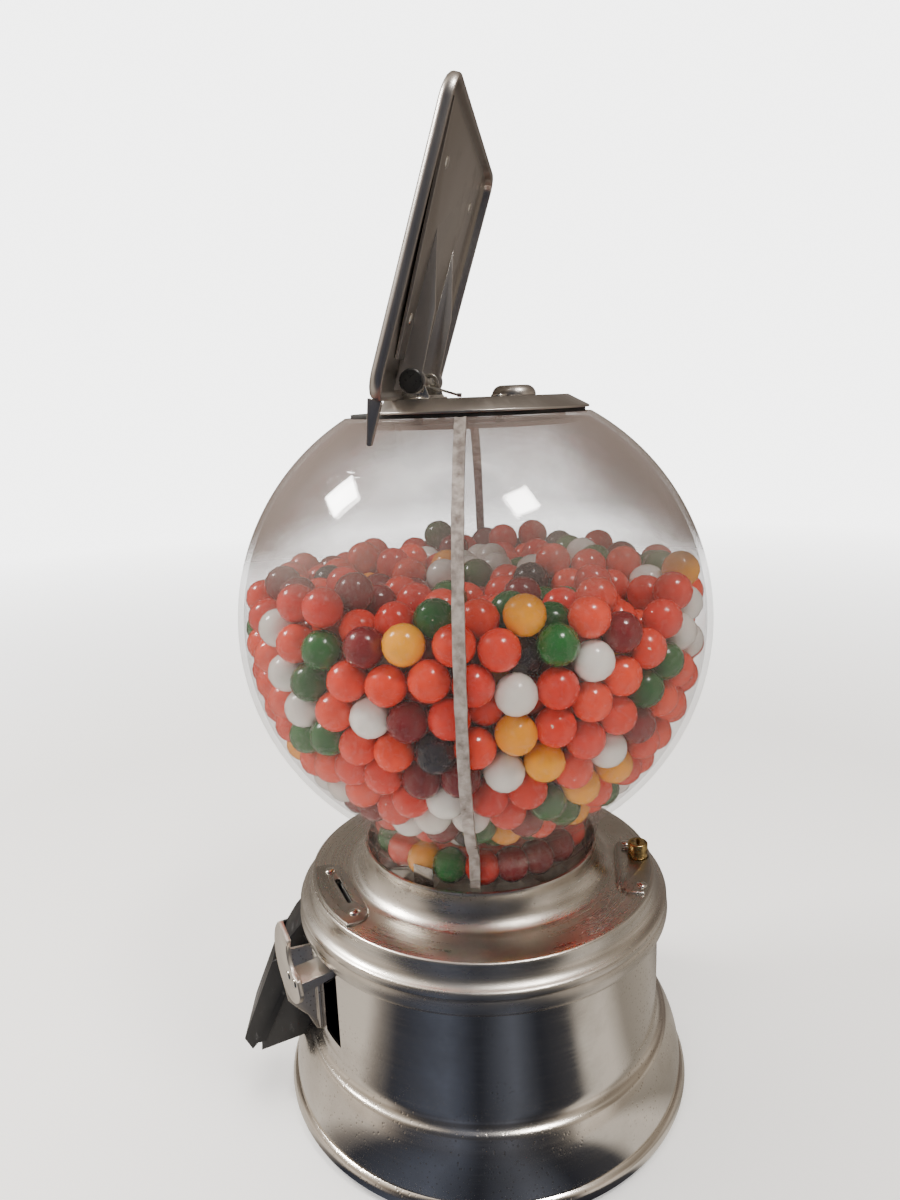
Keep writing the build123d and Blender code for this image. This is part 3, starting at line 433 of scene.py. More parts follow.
def arc(p0, p1, p2, steps):
    """Points on the circle through three points, without the first."""
    (ax, ay), (bx, by), (cx, cy) = p0, p1, p2
    d = 2 * (ax * (by - cy) + bx * (cy - ay) + cx * (ay - by))
    a2, b2, c2 = ax * ax + ay * ay, bx * bx + by * by, cx * cx + cy * cy
    ux = (a2 * (by - cy) + b2 * (cy - ay) + c2 * (ay - by)) / d
    uy = (a2 * (cx - bx) + b2 * (ax - cx) + c2 * (bx - ax)) / d
    start, mid, end = (atan2(y - uy, x - ux) for x, y in (p0, p1, p2))
    way = (mid - start) % (2 * pi)
    turn = (end - start) % (2 * pi)
    if way > turn:
        turn -= 2 * pi
    r = sqrt((ax - ux) ** 2 + (ay - uy) ** 2)
    return [
        (ux + r * cos(start + turn * i / steps), uy + r * sin(start + turn * i / steps))
        for i in range(1, steps + 1)
    ]


def lathe(bm, loop, segments):
    """Spins a closed (radius, z) loop, in millimetres, round the axis."""
    rings = []
    for i in range(segments):
        a = 2 * pi * i / segments
        rings.append([bm.verts.new((r * cos(a) * MM, r * sin(a) * MM, z * MM)) for r, z in loop])
    for i, ring in enumerate(rings):
        after = rings[(i + 1) % segments]
        for j in range(len(loop)):
            k = (j + 1) % len(loop)
            bm.faces.new((ring[j], after[j], after[k], ring[k]))
    bmesh.ops.remove_doubles(bm, verts=bm.verts, dist=1e-7)
    bmesh.ops.recalc_face_normals(bm, faces=bm.faces)


def finish_mesh(name, bm, material, sharp=32.0):
    """Turns a bmesh into an object in the scene, smooth but for its sharp edges."""
    mesh = bpy.data.meshes.new(name)
    bm.to_mesh(mesh)
    bm.free()
    return place(name, mesh, material, sharp)


def place(name, mesh, material, sharp=32.0):
    """Links a finished mesh as an object."""
    mesh.name = name
    mesh.polygons.foreach_set("use_smooth", [True] * len(mesh.polygons))
    mesh.set_sharp_from_angle(angle=radians(sharp))
    if material and not mesh.materials:
        mesh.materials.append(material)
    piece = bpy.data.objects.new(name, mesh)
    bpy.context.scene.collection.objects.link(piece)
    return piece


def baked(piece):
    """The piece's evaluated mesh, with the piece itself removed."""
    bpy.context.view_layer.update()
    graph = bpy.context.evaluated_depsgraph_get()
    mesh = bpy.data.meshes.new_from_object(piece.evaluated_get(graph))
    bpy.data.objects.remove(piece)
    return mesh


def block(name, origin, x_axis, y_axis, size):
    """A cutter: box centred on origin with its axes and full size, in metres."""
    z_axis = x_axis.cross(y_axis)
    bm = bmesh.new()
    bmesh.ops.create_cube(bm, size=1.0)
    turn = Matrix((x_axis, y_axis, z_axis)).transposed()
    for v in bm.verts:
        v.co = origin + turn @ Vector([c * s for c, s in zip(v.co, size)])
    bmesh.ops.recalc_face_normals(bm, faces=bm.faces)
    return finish_mesh(name, bm, None)


def cut(piece, cutters, material, sharp=32.0):
    """Cuts the cutters out of a piece and returns the finished object."""
    for cutter in cutters:
        modifier = piece.modifiers.new("cut", "BOOLEAN")
        modifier.operation = "DIFFERENCE"
        modifier.solver = "EXACT"
        modifier.object = cutter
    name = piece.name
    mesh = baked(piece)
    for cutter in cutters:
        bpy.data.objects.remove(cutter)
    return place(name, mesh, material, sharp)


def tube(bm, path, radius, sides=10):
    """Sweeps a round section along a list of points, with closed ends."""
    rings = []
    normal = Vector((0, 0, 1))
    for i, point in enumerate(path):
        ahead = (path[min(i + 1, len(path) - 1)] - path[max(i - 1, 0)]).normalized()
        across = ahead.cross(normal)
        if across.length < 1e-4:
            across = ahead.cross(Vector((1, 0, 0)))
        across.normalize()
        normal = across.cross(ahead).normalized()
        rings.append([
            bm.verts.new(point + radius * (cos(2 * pi * k / sides) * across
                                           + sin(2 * pi * k / sides) * normal))
            for k in range(sides)
        ])
    for ring, after in zip(rings, rings[1:]):
        for k in range(sides):
            bm.faces.new((ring[k], ring[(k + 1) % sides], after[(k + 1) % sides], after[k]))
    bm.faces.new(rings[0][::-1])
    bm.faces.new(rings[-1])
    bmesh.ops.recalc_face_normals(bm, faces=bm.faces)


def helix(origin, axis, radius, length, turns, steps=22):
    """Points of a coil round an axis."""
    axis = axis.normalized()
    side = axis.orthogonal().normalized()
    other = axis.cross(side)
    total = int(turns * steps)
    return [
        origin + axis * length * i / total
        + radius * (cos(2 * pi * i / steps) * side + sin(2 * pi * i / steps) * other)
        for i in range(total + 1)
    ]


def stands_for(piece, body, slot, *nodes):
    """Puts a finished piece on its body in place of CAD nodes."""
    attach(piece, body)
    if nodes:
        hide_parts(*nodes)
    return piece


# ---------------------------------------------------------------- base and cap
def base_outline(inset):
    """Outline of the spun base from its rolled rim to its open top."""
    low = FLOOR_LIP + inset
    rim = (84.2, low)
    line = [(80.0, low), rim]
    line += arc(rim, (88.1 - inset, 4.6), (85.6 - inset, 8.2), 12)
    line += arc((85.6 - inset, 8.2), (84.1 - inset, 20.5), (79.2 - inset, 31.2), 20)
    line += arc((79.2 - inset, 31.2), (76.3 - inset, 33.6), (BODY_R - inset, 37.2), 8)
    line += [(BODY_R - inset, 37.2 + (BODY_TOP - 37.2) * i / 6) for i in range(1, 7)]
    return line


def cap_outline(inset):
    """Outline of the cap: rounded band, bead, step, flat shoulder and flared collar."""
    band = 78.0 - inset
    line = [(band, CAP_LOW)]
    line += arc((band, CAP_LOW), (band + 1.1, 84.4), (band - 0.1, 87.4), 8)
    line += arc((band - 0.1, 87.4), (band + 0.7, 89.2), (band - 0.9, 91.0), 8)
    line += arc((band - 0.9, 91.0), (band - 3.4, 93.2), (SHOULDER_R - inset, 97.6), 10)
    edge = (SHOULDER_R - inset - 1.2, SHOULDER_Z - inset)
    line += arc((SHOULDER_R - inset, 97.6), (SHOULDER_R - inset - 0.3, 98.8 - inset), edge, 4)
    foot = (56.4, SHOULDER_Z - inset)
    line += [(edge[0] + (foot[0] - edge[0]) * i / 5, foot[1]) for i in range(1, 6)]
    lip = (COLLAR_R + 0.2 - inset, COLLAR_TOP - 0.8)
    line += arc(foot, (52.0 - inset, 102.3), lip, 16)
    line.append((COLLAR_R - inset, COLLAR_TOP))
    return line


class GUMBALL_OT_base_shell(bpy.types.Operator):
    """Spin the flared base and cut the lever slot and the ball outlet"""

    bl_idname = "gumball.base_shell"
    bl_label = "Base shell"

    def execute(self, context):
        bm = bmesh.new()
        lathe(bm, base_outline(0) + base_outline(SHEET)[::-1], settings("plating").segments)
        nickel = plated_nickel()
        shell = finish_mesh("plated_base", bm, nickel)
        up = Vector((0, 0, 1))
        slot = block(
            "lever_slot", spot(LEVER_AT, BODY_R, 61.25), spot(LEVER_AT, 1000, 0), up,
            (8 * MM, 36.5 * MM, 13.1 * MM),
        )
        outlet = block(
            "outlet", spot(CHUTE_AT, BODY_R, 47.5), spot(CHUTE_AT, 1000, 0), up,
            (8 * MM, 24 * MM, 19.2 * MM),
        )
        shell = cut(shell, [slot, outlet], nickel)
        stands_for(shell, "base", "nickel_plate", "base_shell")
        return {"FINISHED"}


class GUMBALL_OT_shoulder_cap(bpy.types.Operator):
    """Spin the stepped cap with its collar and cut the coin slot and lock hole"""

    bl_idname = "gumball.shoulder_cap"
    bl_label = "Shoulder cap"

    def execute(self, context):
        bm = bmesh.new()
        lathe(bm, cap_outline(0) + cap_outline(SHEET)[::-1], settings("plating").segments)
        # Darker copy of the plating (shade 0.90) for the cap: painted shade
        nickel = plated_nickel("cap_nickel_painted_shade", 0.23, 0.90)
        cap = finish_mesh("plated_cap", bm, nickel)
        coin = block(
            "coin_cut", spot(COIN_AT, 62.5, SHOULDER_Z), spot(COIN_AT, 1000, 0),
            spot(COIN_AT + 90, 1000, 0), (3.2 * MM, 21 * MM, 6 * MM),
        )
        low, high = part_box("lock_cylinder")
        middle = (low + high) / 2
        middle.z = SHOULDER_Z * MM
        barrel = block("lock_cut", middle, Vector((1, 0, 0)), Vector((0, 1, 0)),
                       (7.6 * MM, 7.6 * MM, 6 * MM))
        cap = cut(cap, [coin, barrel], nickel)
        stands_for(cap, "base", "nickel_plate", "shoulder_cap")
        return {"FINISHED"}


# ---------------------------------------------------------------- globe
def globe_outlines(proud):
    """Outer and inner outlines of the globe's wall, from the neck up to the mouth."""
    out_r, in_r = GLOBE_R + proud, GLOBE_R - GLOBE_WALL - proud
    neck_out, neck_in = NECK_R + proud, NECK_R - GLOBE_WALL - proud
    top_out, top_in = GLOBE_TOP + proud / 2, GLOBE_TOP - GLOBE_WALL - proud
    hip_out, hip_in = 51.4 + proud, 49.6 - proud
    foot_out = (hip_out, GLOBE_Z - sqrt(out_r ** 2 - hip_out ** 2))
    foot_in = (hip_in, GLOBE_Z - sqrt(in_r ** 2 - hip_in ** 2))
    crown_out = (sqrt(out_r ** 2 - (top_out - GLOBE_Z) ** 2), top_out)
    crown_in = (sqrt(in_r ** 2 - (top_in - GLOBE_Z) ** 2), top_in)
    outer = [(neck_out, NECK_Z), (neck_out, 113.6)]
    outer += arc((neck_out, 113.6), (neck_out + 1.2, 115.4), (neck_out + 0.4, 117.2), 6)
    outer += arc(
        (neck_out + 0.4, 117.2), (neck_out + 2.4, 119.4), (neck_out + 1.6, 121.6), 6,
    )
    outer += [foot_out] + arc(foot_out, (out_r, GLOBE_Z), crown_out, 72)
    outer.append((MOUTH_R, top_out))
    inner = [(neck_in, NECK_Z), (neck_in, 119.0), foot_in]
    inner += arc(foot_in, (in_r, GLOBE_Z), crown_in, 72)
    inner.append((MOUTH_R, top_in))
    return outer, inner


class GUMBALL_OT_globe(bpy.types.Operator):
    """Mould the two halves of the clear globe"""

    bl_idname = "gumball.globe"
    bl_label = "Globe halves"

    def execute(self, context):
        outer, inner = globe_outlines(0)
        plastic = clear_plastic()
        for side, node in ((-1, "globe_half_front"), (1, "globe_half_back")):
            bm = bmesh.new()
            lathe(bm, outer + inner[::-1], 160)
            away = spot(SEAM_AT + 90, 1000, 0) * side
            cuts = bmesh.ops.bisect_plane(
                bm, geom=bm.verts[:] + bm.edges[:] + bm.faces[:], dist=1e-7,
                plane_co=away * (SEAM_W / 2) * MM, plane_no=away, clear_inner=True,
            )["geom_cut"]
            edges = [e for e in cuts if isinstance(e, bmesh.types.BMEdge)]
            bmesh.ops.triangle_fill(bm, edges=edges, use_beauty=True)
            bmesh.ops.recalc_face_normals(bm, faces=bm.faces)
            half = finish_mesh(node.replace("globe_half", "clear_half"), bm, plastic, 40)
            stands_for(half, "base", "clear_plastic", node)
        return {"FINISHED"}


class GUMBALL_OT_seam(bpy.types.Operator):
    """Lay the cemented joint strip with its uneven edges"""

    bl_idname = "gumball.seam"
    bl_label = "Seam strip"

    def execute(self, context):
        outer, inner = globe_outlines(0.3)
        outer = [p for p in outer if p[1] > 112.6]
        inner = [p for p in inner if p[1] > 112.6]
        rng = np.random.default_rng(3)
        bm = bmesh.new()
        for bearing in (SEAM_AT, SEAM_AT + 180):
            steps = 260
            near, far = resample(outer, steps), resample([(45.7, 112.6)] + inner, steps)
            wander = np.interp(np.arange(steps), np.arange(0, steps + 6, 6),
                               rng.uniform(-0.14, 0.08, len(range(0, steps + 6, 6))))
            rings = []
            for i in range(steps):
                half = SEAM_W / 2 + 0.06 + wander[i]
                (r, z), (r2, z2) = near[i], far[i]
                dent = 0.28 + rng.uniform(-0.08, 0.08)
                toward = Vector((r - r2, z - z2)).normalized()
                mid_r, mid_z = r - toward.x * dent, z - toward.y * dent
                ring = [(r2, z2, -half), (r, z, -half), (r, z, -half + 0.7),
                        (mid_r, mid_z, 0), (r, z, half - 0.7), (r, z, half), (r2, z2, half)]
                rings.append([bm.verts.new(spot(bearing, a, b, c)) for a, b, c in ring])
            for ring, after in zip(rings, rings[1:]):
                for k in range(len(ring)):
                    n = (k + 1) % len(ring)
                    bm.faces.new((ring[k], ring[n], after[n], after[k]))
            bm.faces.new(rings[0])
            bm.faces.new(rings[-1])
        bmesh.ops.recalc_face_normals(bm, faces=bm.faces)
        strip = finish_mesh("seam_strip", bm, seam_cement(), 50)
        stands_for(strip, "base", "seam_cement", "globe_seam")
        return {"FINISHED"}


def resample(line, count):
    """Evenly spaced points along a line of (radius, z) points."""
    points = np.array(line, float)
    step = np.r_[0, np.cumsum(np.hypot(*np.diff(points, axis=0).T))]
    at = np.linspace(0, step[-1], count)
    return [(float(r), float(z)) for r, z in zip(np.interp(at, step, points[:, 0]),
                                                 np.interp(at, step, points[:, 1]))]


# ---------------------------------------------------------------- gumballs
def settle(count, seed):
    """Centres of balls shaken down into the globe, in millimetres."""
    rng = np.random.default_rng(seed)
    reach = GLOBE_R - GLOBE_WALL - BALL_R - 0.4
    neck = NECK_R - GLOBE_WALL - BALL_R - 0.6
    floor = 109.5 + BALL_R
    p = rng.uniform(-1, 1, (count * 3, 3)) * (reach, reach, 1)
    p[:, 2] = rng.uniform(150, BALL_LEVEL + 26, len(p))
    inside = np.hypot(np.hypot(p[:, 0], p[:, 1]), p[:, 2] - GLOBE_Z) < reach
    p = p[inside][:count]
    rounds = 520
    for turn in range(rounds):
        calm = turn / rounds
        p[:, 2] -= 0.9 * (1 - calm) + 0.05
        if turn % 3 == 0:
            p += rng.normal(0, 0.35 * (1 - calm), p.shape)
        for _ in range(2):
            gap = p[:, None, :] - p[None, :, :]
            dist = np.sqrt((gap ** 2).sum(2)) + np.eye(len(p)) * 99
            i, j = np.nonzero(dist < 2 * BALL_R)
            push = gap[i, j] / dist[i, j][:, None] * (2 * BALL_R - dist[i, j])[:, None] * 0.42
            np.add.at(p, i, push)
            flat = np.hypot(p[:, 0], p[:, 1])
            far = np.sqrt(flat ** 2 + (p[:, 2] - GLOBE_Z) ** 2)
            throat = (p[:, 2] < 124) & (flat < neck + 6)
            ball = (far > reach) & ~throat
            pull = reach / np.maximum(far, 1e-6)
            p[ball, :2] *= pull[ball, None]
            p[ball, 2] = GLOBE_Z + (p[ball, 2] - GLOBE_Z) * pull[ball]
            tight = throat & (flat > neck)
            p[tight, :2] *= (neck / flat[tight])[:, None]
            p[:, 2] = np.maximum(p[:, 2], floor)
    return p


def socket(tree, kind, name, default=None, way="INPUT"):
    """Adds a named input or output to a geometry tree."""
    item = tree.interface.new_socket(name, in_out=way, socket_type=kind)
    if default is not None:
        item.default_value = default
    return item


def gumball_tree():
    """Geometry tree: a round ball on every point, turned at random and drifting in tone."""
    tree = bpy.data.node_groups.new("Gumballs", "GeometryNodeTree")
    socket(tree, "NodeSocketGeometry", "Points")
    socket(tree, "NodeSocketFloat", "Radius", BALL_R * MM)
    socket(tree, "NodeSocketInt", "Facets", 5)
    socket(tree, "NodeSocketInt", "Seed", 1)
    socket(tree, "NodeSocketMaterial", "Shell")
    socket(tree, "NodeSocketGeometry", "Balls", way="OUTPUT")
    add, link = tree.nodes.new, tree.links.new
    given, out = add("NodeGroupInput"), add("NodeGroupOutput")
    cube = add("GeometryNodeMeshCube")
    cube.inputs["Size"].default_value = (2, 2, 2)
    for key in ("Vertices X", "Vertices Y", "Vertices Z"):
        link(given.outputs["Facets"], cube.inputs[key])
    position = add("GeometryNodeInputPosition")
    even = add("ShaderNodeVectorMath")          # spread the grid before it is rounded
    even.operation = "MULTIPLY_ADD"
    square = add("ShaderNodeVectorMath")
    square.operation = "MULTIPLY"
    cubed = add("ShaderNodeVectorMath")
    cubed.operation = "MULTIPLY"
    link(position.outputs[0], square.inputs[0])
    link(position.outputs[0], square.inputs[1])
    link(square.outputs[0], cubed.inputs[0])
    link(position.outputs[0], cubed.inputs[1])
    link(cubed.outputs[0], even.inputs[0])
    even.inputs[1].default_value = (0.22, 0.22, 0.22)
    link(position.outputs[0], even.inputs[2])
    unit = add("ShaderNodeVectorMath")
    unit.operation = "NORMALIZE"
    link(even.outputs[0], unit.inputs[0])
    sized = add("ShaderNodeVectorMath")
    sized.operation = "SCALE"
    link(unit.outputs[0], sized.inputs[0])
    link(given.outputs["Radius"], sized.inputs["Scale"])
    rounded = add("GeometryNodeSetPosition")
    link(cube.outputs["Mesh"], rounded.inputs["Geometry"])
    link(sized.outputs[0], rounded.inputs["Position"])
    turn = add("FunctionNodeRandomValue")
    turn.data_type = "FLOAT_VECTOR"
    turn.inputs["Max"].default_value = (6.28, 6.28, 6.28)
    link(given.outputs["Seed"], turn.inputs["Seed"])
    put = add("GeometryNodeInstanceOnPoints")
    link(given.outputs["Points"], put.inputs["Points"])
    link(rounded.outputs[0], put.inputs["Instance"])
    link(turn.outputs[0], put.inputs["Rotation"])
    drift = add("FunctionNodeRandomValue")
    drift.data_type = "FLOAT"
    link(given.outputs["Seed"], drift.inputs["Seed"])
    note = add("GeometryNodeStoreNamedAttribute")
    note.data_type = "FLOAT"
    note.domain = "INSTANCE"
    note.inputs["Name"].default_value = "drift"
    link(put.outputs[0], note.inputs["Geometry"])
    link(drift.outputs[1], note.inputs["Value"])
    real = add("GeometryNodeRealizeInstances")
    link(note.outputs[0], real.inputs["Geometry"])
    dressed = add("GeometryNodeSetMaterial")
    link(real.outputs[0], dressed.inputs["Geometry"])
    link(given.outputs["Shell"], dressed.inputs["Material"])
    link(dressed.outputs[0], out.inputs["Balls"])
    return tree


def through_tree(name, tree, points, values, sharp=60.0):
    """Runs a geometry tree on a cloud of points and returns the finished object."""
    cloud = bpy.data.meshes.new(name + "_points")
    cloud.from_pydata([tuple(p) for p in points], [], [])
    carrier = bpy.data.objects.new(name + "_points", cloud)
    bpy.context.scene.collection.objects.link(carrier)
    modifier = carrier.modifiers.new("tree", "NODES")
    modifier.node_group = tree
    for item in tree.interface.items_tree:
        if item.in_out == "INPUT" and item.name in values:
            modifier[item.identifier] = values[item.name]
    return place(name, baked(carrier), None, sharp)


class GUMBALL_OT_gumballs(bpy.types.Operator):
    """Fill the globe with gumballs in six colours"""

    bl_idname = "gumball.gumballs"
    bl_label = "Gumballs"

    def execute(self, context):
        look = settings("candy")
        centres = settle(look.count, look.seed)
        rng = np.random.default_rng(look.seed + 1)
        share = [row[2] for row in CANDY.values()]
        kinds = rng.choice(len(CANDY), len(centres), p=np.array(share) / sum(share))
        tree = gumball_tree()
        first = True
        for index, (name, (shade, deep, _)) in enumerate(CANDY.items()):
            heap = through_tree(
                "gumballs_" + name, tree, centres[kinds == index] * MM,
                {"Radius": look.radius, "Seed": index + 1, "Shell": candy(name, shade, deep)}, 80,
            )
            stands_for(heap, "base", "candy", *(["gumballs"] if first else []))
            first = False
        return {"FINISHED"}


# ---------------------------------------------------------------- lid
UP = radians(LID_OPEN)
TOP = radians(TOP_AT)
LID_AWAY = Vector((cos(UP) * cos(TOP), cos(UP) * sin(TOP), sin(UP)))
LID_OUT = Vector((-sin(UP) * cos(TOP), -sin(UP) * sin(TOP), cos(UP)))
LID_ALONG = LID_OUT.cross(LID_AWAY)
PIN_AT = spot(TOP_AT, PIN_X, PIN_Z)


def on_lid(x, y, z):
    """Point in the open lid's own frame: x to the free edge, y along the hinge, z outwards."""
    return PIN_AT + (x * LID_AWAY + y * LID_ALONG + z * LID_OUT) * MM


def lid_loop(inset, corner_steps=8):
    """Rounded rectangle in the lid's plane, inset from its edge."""
    radius = max(9.0 - inset, 0.6)
    hx, hy = LID_W / 2 - inset, LID_L / 2 - inset
    points = []
    for cx, cy, start in ((1, 1, 0), (-1, 1, 90), (-1, -1, 180), (1, -1, 270)):
        for i in range(corner_steps + 1):
            a = radians(start + 90 * i / corner_steps)
            points.append((cx * (hx - radius) + radius * cos(a),
                           cy * (hy - radius) + radius * sin(a)))
    return points


class GUMBALL_OT_lid(bpy.types.Operator):
    """Press the crowned lid with its bead and rolled rim"""

    bl_idname = "gumball.lid"
    bl_label = "Lid"

    def execute(self, context):
        top = LID_UNDER + SHEET
        skin = [(46, 0), (36, 0), (26, 0), (16, 0), (10.5, 0), (9.4, 0.3), (8.2, 0.45), (7.0, 0.3),
                (6.0, 0), (3.6, 0), (2.2, -0.15), (1.1, -0.55), (0.35, -1.2), (0.05, -2.0)]
        depth = LID_RIM + SHEET
        roll = [(0.0, -depth + 1.0), (0.35, -depth + 0.3), (1.0, -depth + 0.05),
                (1.7, -depth + 0.3), (2.0, -depth + 1.0)]
        under = [(1.9, -2.6), (2.4, -1.5), (3.6, -1.0), (6.0, -1.0), (7.0, -0.7), (8.2, -0.55),
                 (9.4, -0.7), (10.5, -1.0), (16, -1.0), (26, -1.0), (36, -1.0), (46, -1.0)]
        bm = bmesh.new()
        rings = []
        for inset, z in skin + roll + under:
            ring = []
            for x, y in lid_loop(inset):
                crown = CROWN - (x * x + y * y) / (2 * CROWN_R)
                ring.append(bm.verts.new(on_lid(LID_BACK + LID_W / 2 + x, y, top + z + crown)))
            rings.append(ring)
        for ring, after in zip(rings, rings[1:]):
            for k in range(len(ring)):
                n = (k + 1) % len(ring)
                bm.faces.new((ring[k], ring[n], after[n], after[k]))
        bm.faces.new(rings[0])
        bm.faces.new(rings[-1])
        bmesh.ops.recalc_face_normals(bm, faces=bm.faces)
        lid = finish_mesh("pressed_lid", bm, lid_steel(), 40)
        stands_for(lid, "lid", "lid_steel", "lid_shell")
        return {"FINISHED"}


# ---------------------------------------------------------------- springs
class GUMBALL_OT_springs(bpy.types.Operator):
    """Wind the lid's torsion spring and the lever's return spring"""

    bl_idname = "gumball.springs"
    bl_label = "Springs"

    def execute(self, context):
        wire = worn_steel("spring_wire", (0.42, 0.40, 0.37), (0.10, 0.09, 0.08), 0.30)
        along = spot(TOP_AT + 90, 1000, 0)

        def top(x, y, z):
            return spot(TOP_AT, x, z, y)

        bm = bmesh.new()
        start = top(PIN_X, -LUG_Y + 1.9, PIN_Z)
        tube(bm, helix(start, along, 2.55 * MM, 11.5 * MM, 9.25), 0.55 * MM)
        leg = [top(PIN_X + 2.4, -LUG_Y + 8.0, PIN_Z - 2.0), top(PIN_X + 8.5, -LUG_Y + 8.0, 297.4),
               top(PIN_X + 14.0, -LUG_Y + 8.0, 295.6), top(PIN_X + 15.6, -LUG_Y + 8.0, 295.2)]
        tube(bm, leg, 0.5 * MM)
        tube(bm, [top(PIN_X + 14.6, -LUG_Y + 8.0, 295.35), top(PIN_X + 16.2, -LUG_Y + 8.0, 295.2)],
             0.78 * MM, 14)
        spring = finish_mesh("lid_spring", bm, wire)
        stands_for(spring, "base", "spring_steel", "torsion_spring")

        low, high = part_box("lever_spring")
        foot = Vector(((low.x + high.x) / 2, (low.y + high.y) / 2, low.z + 0.45 * MM))
        bm = bmesh.new()
        rise = high.z - low.z - 0.9 * MM
        tube(bm, helix(foot, Vector((0, 0, 1)), 2.5 * MM, rise, 7), 0.42 * MM)
        coil = finish_mesh("return_spring", bm, wire)
        stands_for(coil, "base", "spring_steel", "lever_spring")
        return {"FINISHED"}


# ---------------------------------------------------------------- rivets
def islands(node):
    """Centre and size of each separate solid in a CAD node."""
    bm = bmesh.new()
    bm.from_mesh(frame["nodes"][node].data)
    bmesh.ops.remove_doubles(bm, verts=bm.verts, dist=1e-6)
    left = set(bm.verts)
    found = []
    while left:
        stack, group = [left.pop()], []
        while stack:
            v = stack.pop()
            group.append(v.co.copy())
            for edge in v.link_edges:
                w = edge.other_vert(v)
                if w in left:
                    left.remove(w)
                    stack.append(w)
        co = np.array(group)
        found.append((Vector(co.min(0)), Vector(co.max(0))))
    bm.free()
    return sorted(found, key=lambda pair: tuple(pair[0]))


def rivet_tree():
    """Geometry tree: a domed rivet head on every point, facing one way."""
    tree = bpy.data.node_groups.new("Rivets", "GeometryNodeTree")
    socket(tree, "NodeSocketGeometry", "Points")
    socket(tree, "NodeSocketFloat", "Radius", 0.0023)
    socket(tree, "NodeSocketFloat", "Height", 0.0011)
    socket(tree, "NodeSocketInt", "Rings", 5)
    socket(tree, "NodeSocketVector", "Facing")
    socket(tree, "NodeSocketMaterial", "Metal")
    socket(tree, "NodeSocketGeometry", "Rivets", way="OUTPUT")
    add, link = tree.nodes.new, tree.links.new
    given, out = add("NodeGroupInput"), add("NodeGroupOutput")
    ball = add("GeometryNodeMeshUVSphere")
    ball.inputs["Segments"].default_value = 20
    ball.inputs["Radius"].default_value = 1.0
    double = add("ShaderNodeMath")
    double.operation = "MULTIPLY"
    double.inputs[1].default_value = 2.0
    link(given.outputs["Rings"], double.inputs[0])
    link(double.outputs[0], ball.inputs["Rings"])
    position = add("GeometryNodeInputPosition")
    parts = add("ShaderNodeSeparateXYZ")
    link(position.outputs[0], parts.inputs[0])
    above = add("ShaderNodeMath")
    above.operation = "MAXIMUM"
    above.inputs[1].default_value = 0.0
    link(parts.outputs[2], above.inputs[0])
    rows = [("X", parts.outputs[0], "Radius"), ("Y", parts.outputs[1], "Radius"),
            ("Z", above.outputs[0], "Height")]
    joined = add("ShaderNodeCombineXYZ")
    for key, value, size in rows:
        product = add("ShaderNodeMath")
        product.operation = "MULTIPLY"
        link(value, product.inputs[0])
        link(given.outputs[size], product.inputs[1])
        link(product.outputs[0], joined.inputs[key])
    domed = add("GeometryNodeSetPosition")
    link(ball.outputs["Mesh"], domed.inputs["Geometry"])
    link(joined.outputs[0], domed.inputs["Position"])
    merged = add("GeometryNodeMergeByDistance")
    merged.inputs["Distance"].default_value = 1e-6
    link(domed.outputs[0], merged.inputs["Geometry"])
    aim = add("FunctionNodeAlignRotationToVector")
    aim.axis = "Z"
    link(given.outputs["Facing"], aim.inputs["Vector"])
    put = add("GeometryNodeInstanceOnPoints")
    link(given.outputs["Points"], put.inputs["Points"])
    link(merged.outputs[0], put.inputs["Instance"])
    link(aim.outputs[0], put.inputs["Rotation"])
    real = add("GeometryNodeRealizeInstances")
    link(put.outputs[0], real.inputs["Geometry"])
    dressed = add("GeometryNodeSetMaterial")
    link(real.outputs[0], dressed.inputs["Geometry"])
    link(given.outputs["Metal"], dressed.inputs["Material"])
    link(dressed.outputs[0], out.inputs["Rivets"])
    return tree


class GUMBALL_OT_rivets(bpy.types.Operator):
    """Set the domed rivets of the plates, the lid and the lever"""

    bl_idname = "gumball.rivets"
    bl_label = "Rivets"

    def execute(self, context):
        tree = rivet_tree()
        metal = rivet_steel()
        outwards = spot(LEVER_AT, 1000, 0)
        rows = [      # node, body, facing, radius, height
            ("coin_plate_rivets", "base", Vector((0, 0, 1)), 2.3, 1.1),
            ("lock_plate_rivets", "base", Vector((0, 0, 1)), 2.3, 1.1),
            ("lid_rivets", "lid", -LID_OUT, 2.2, 0.8),
            ("lever_rivets", "lever", outwards, 1.8, 0.9),
        ]
        for node, body, facing, radius, height in rows:
            seats = [(low + high) / 2 - facing * height * MM / 2 for low, high in islands(node)]
            heads = through_tree(
                node.replace("rivets", "rivet_heads"), tree, seats,
                {"Radius": radius * MM, "Height": height * MM, "Facing": facing,
                 "Rings": settings("sheet").rivet_rings, "Metal": metal}, 50,
            )
            stands_for(heads, body, "rivet_steel", node)
        return {"FINISHED"}


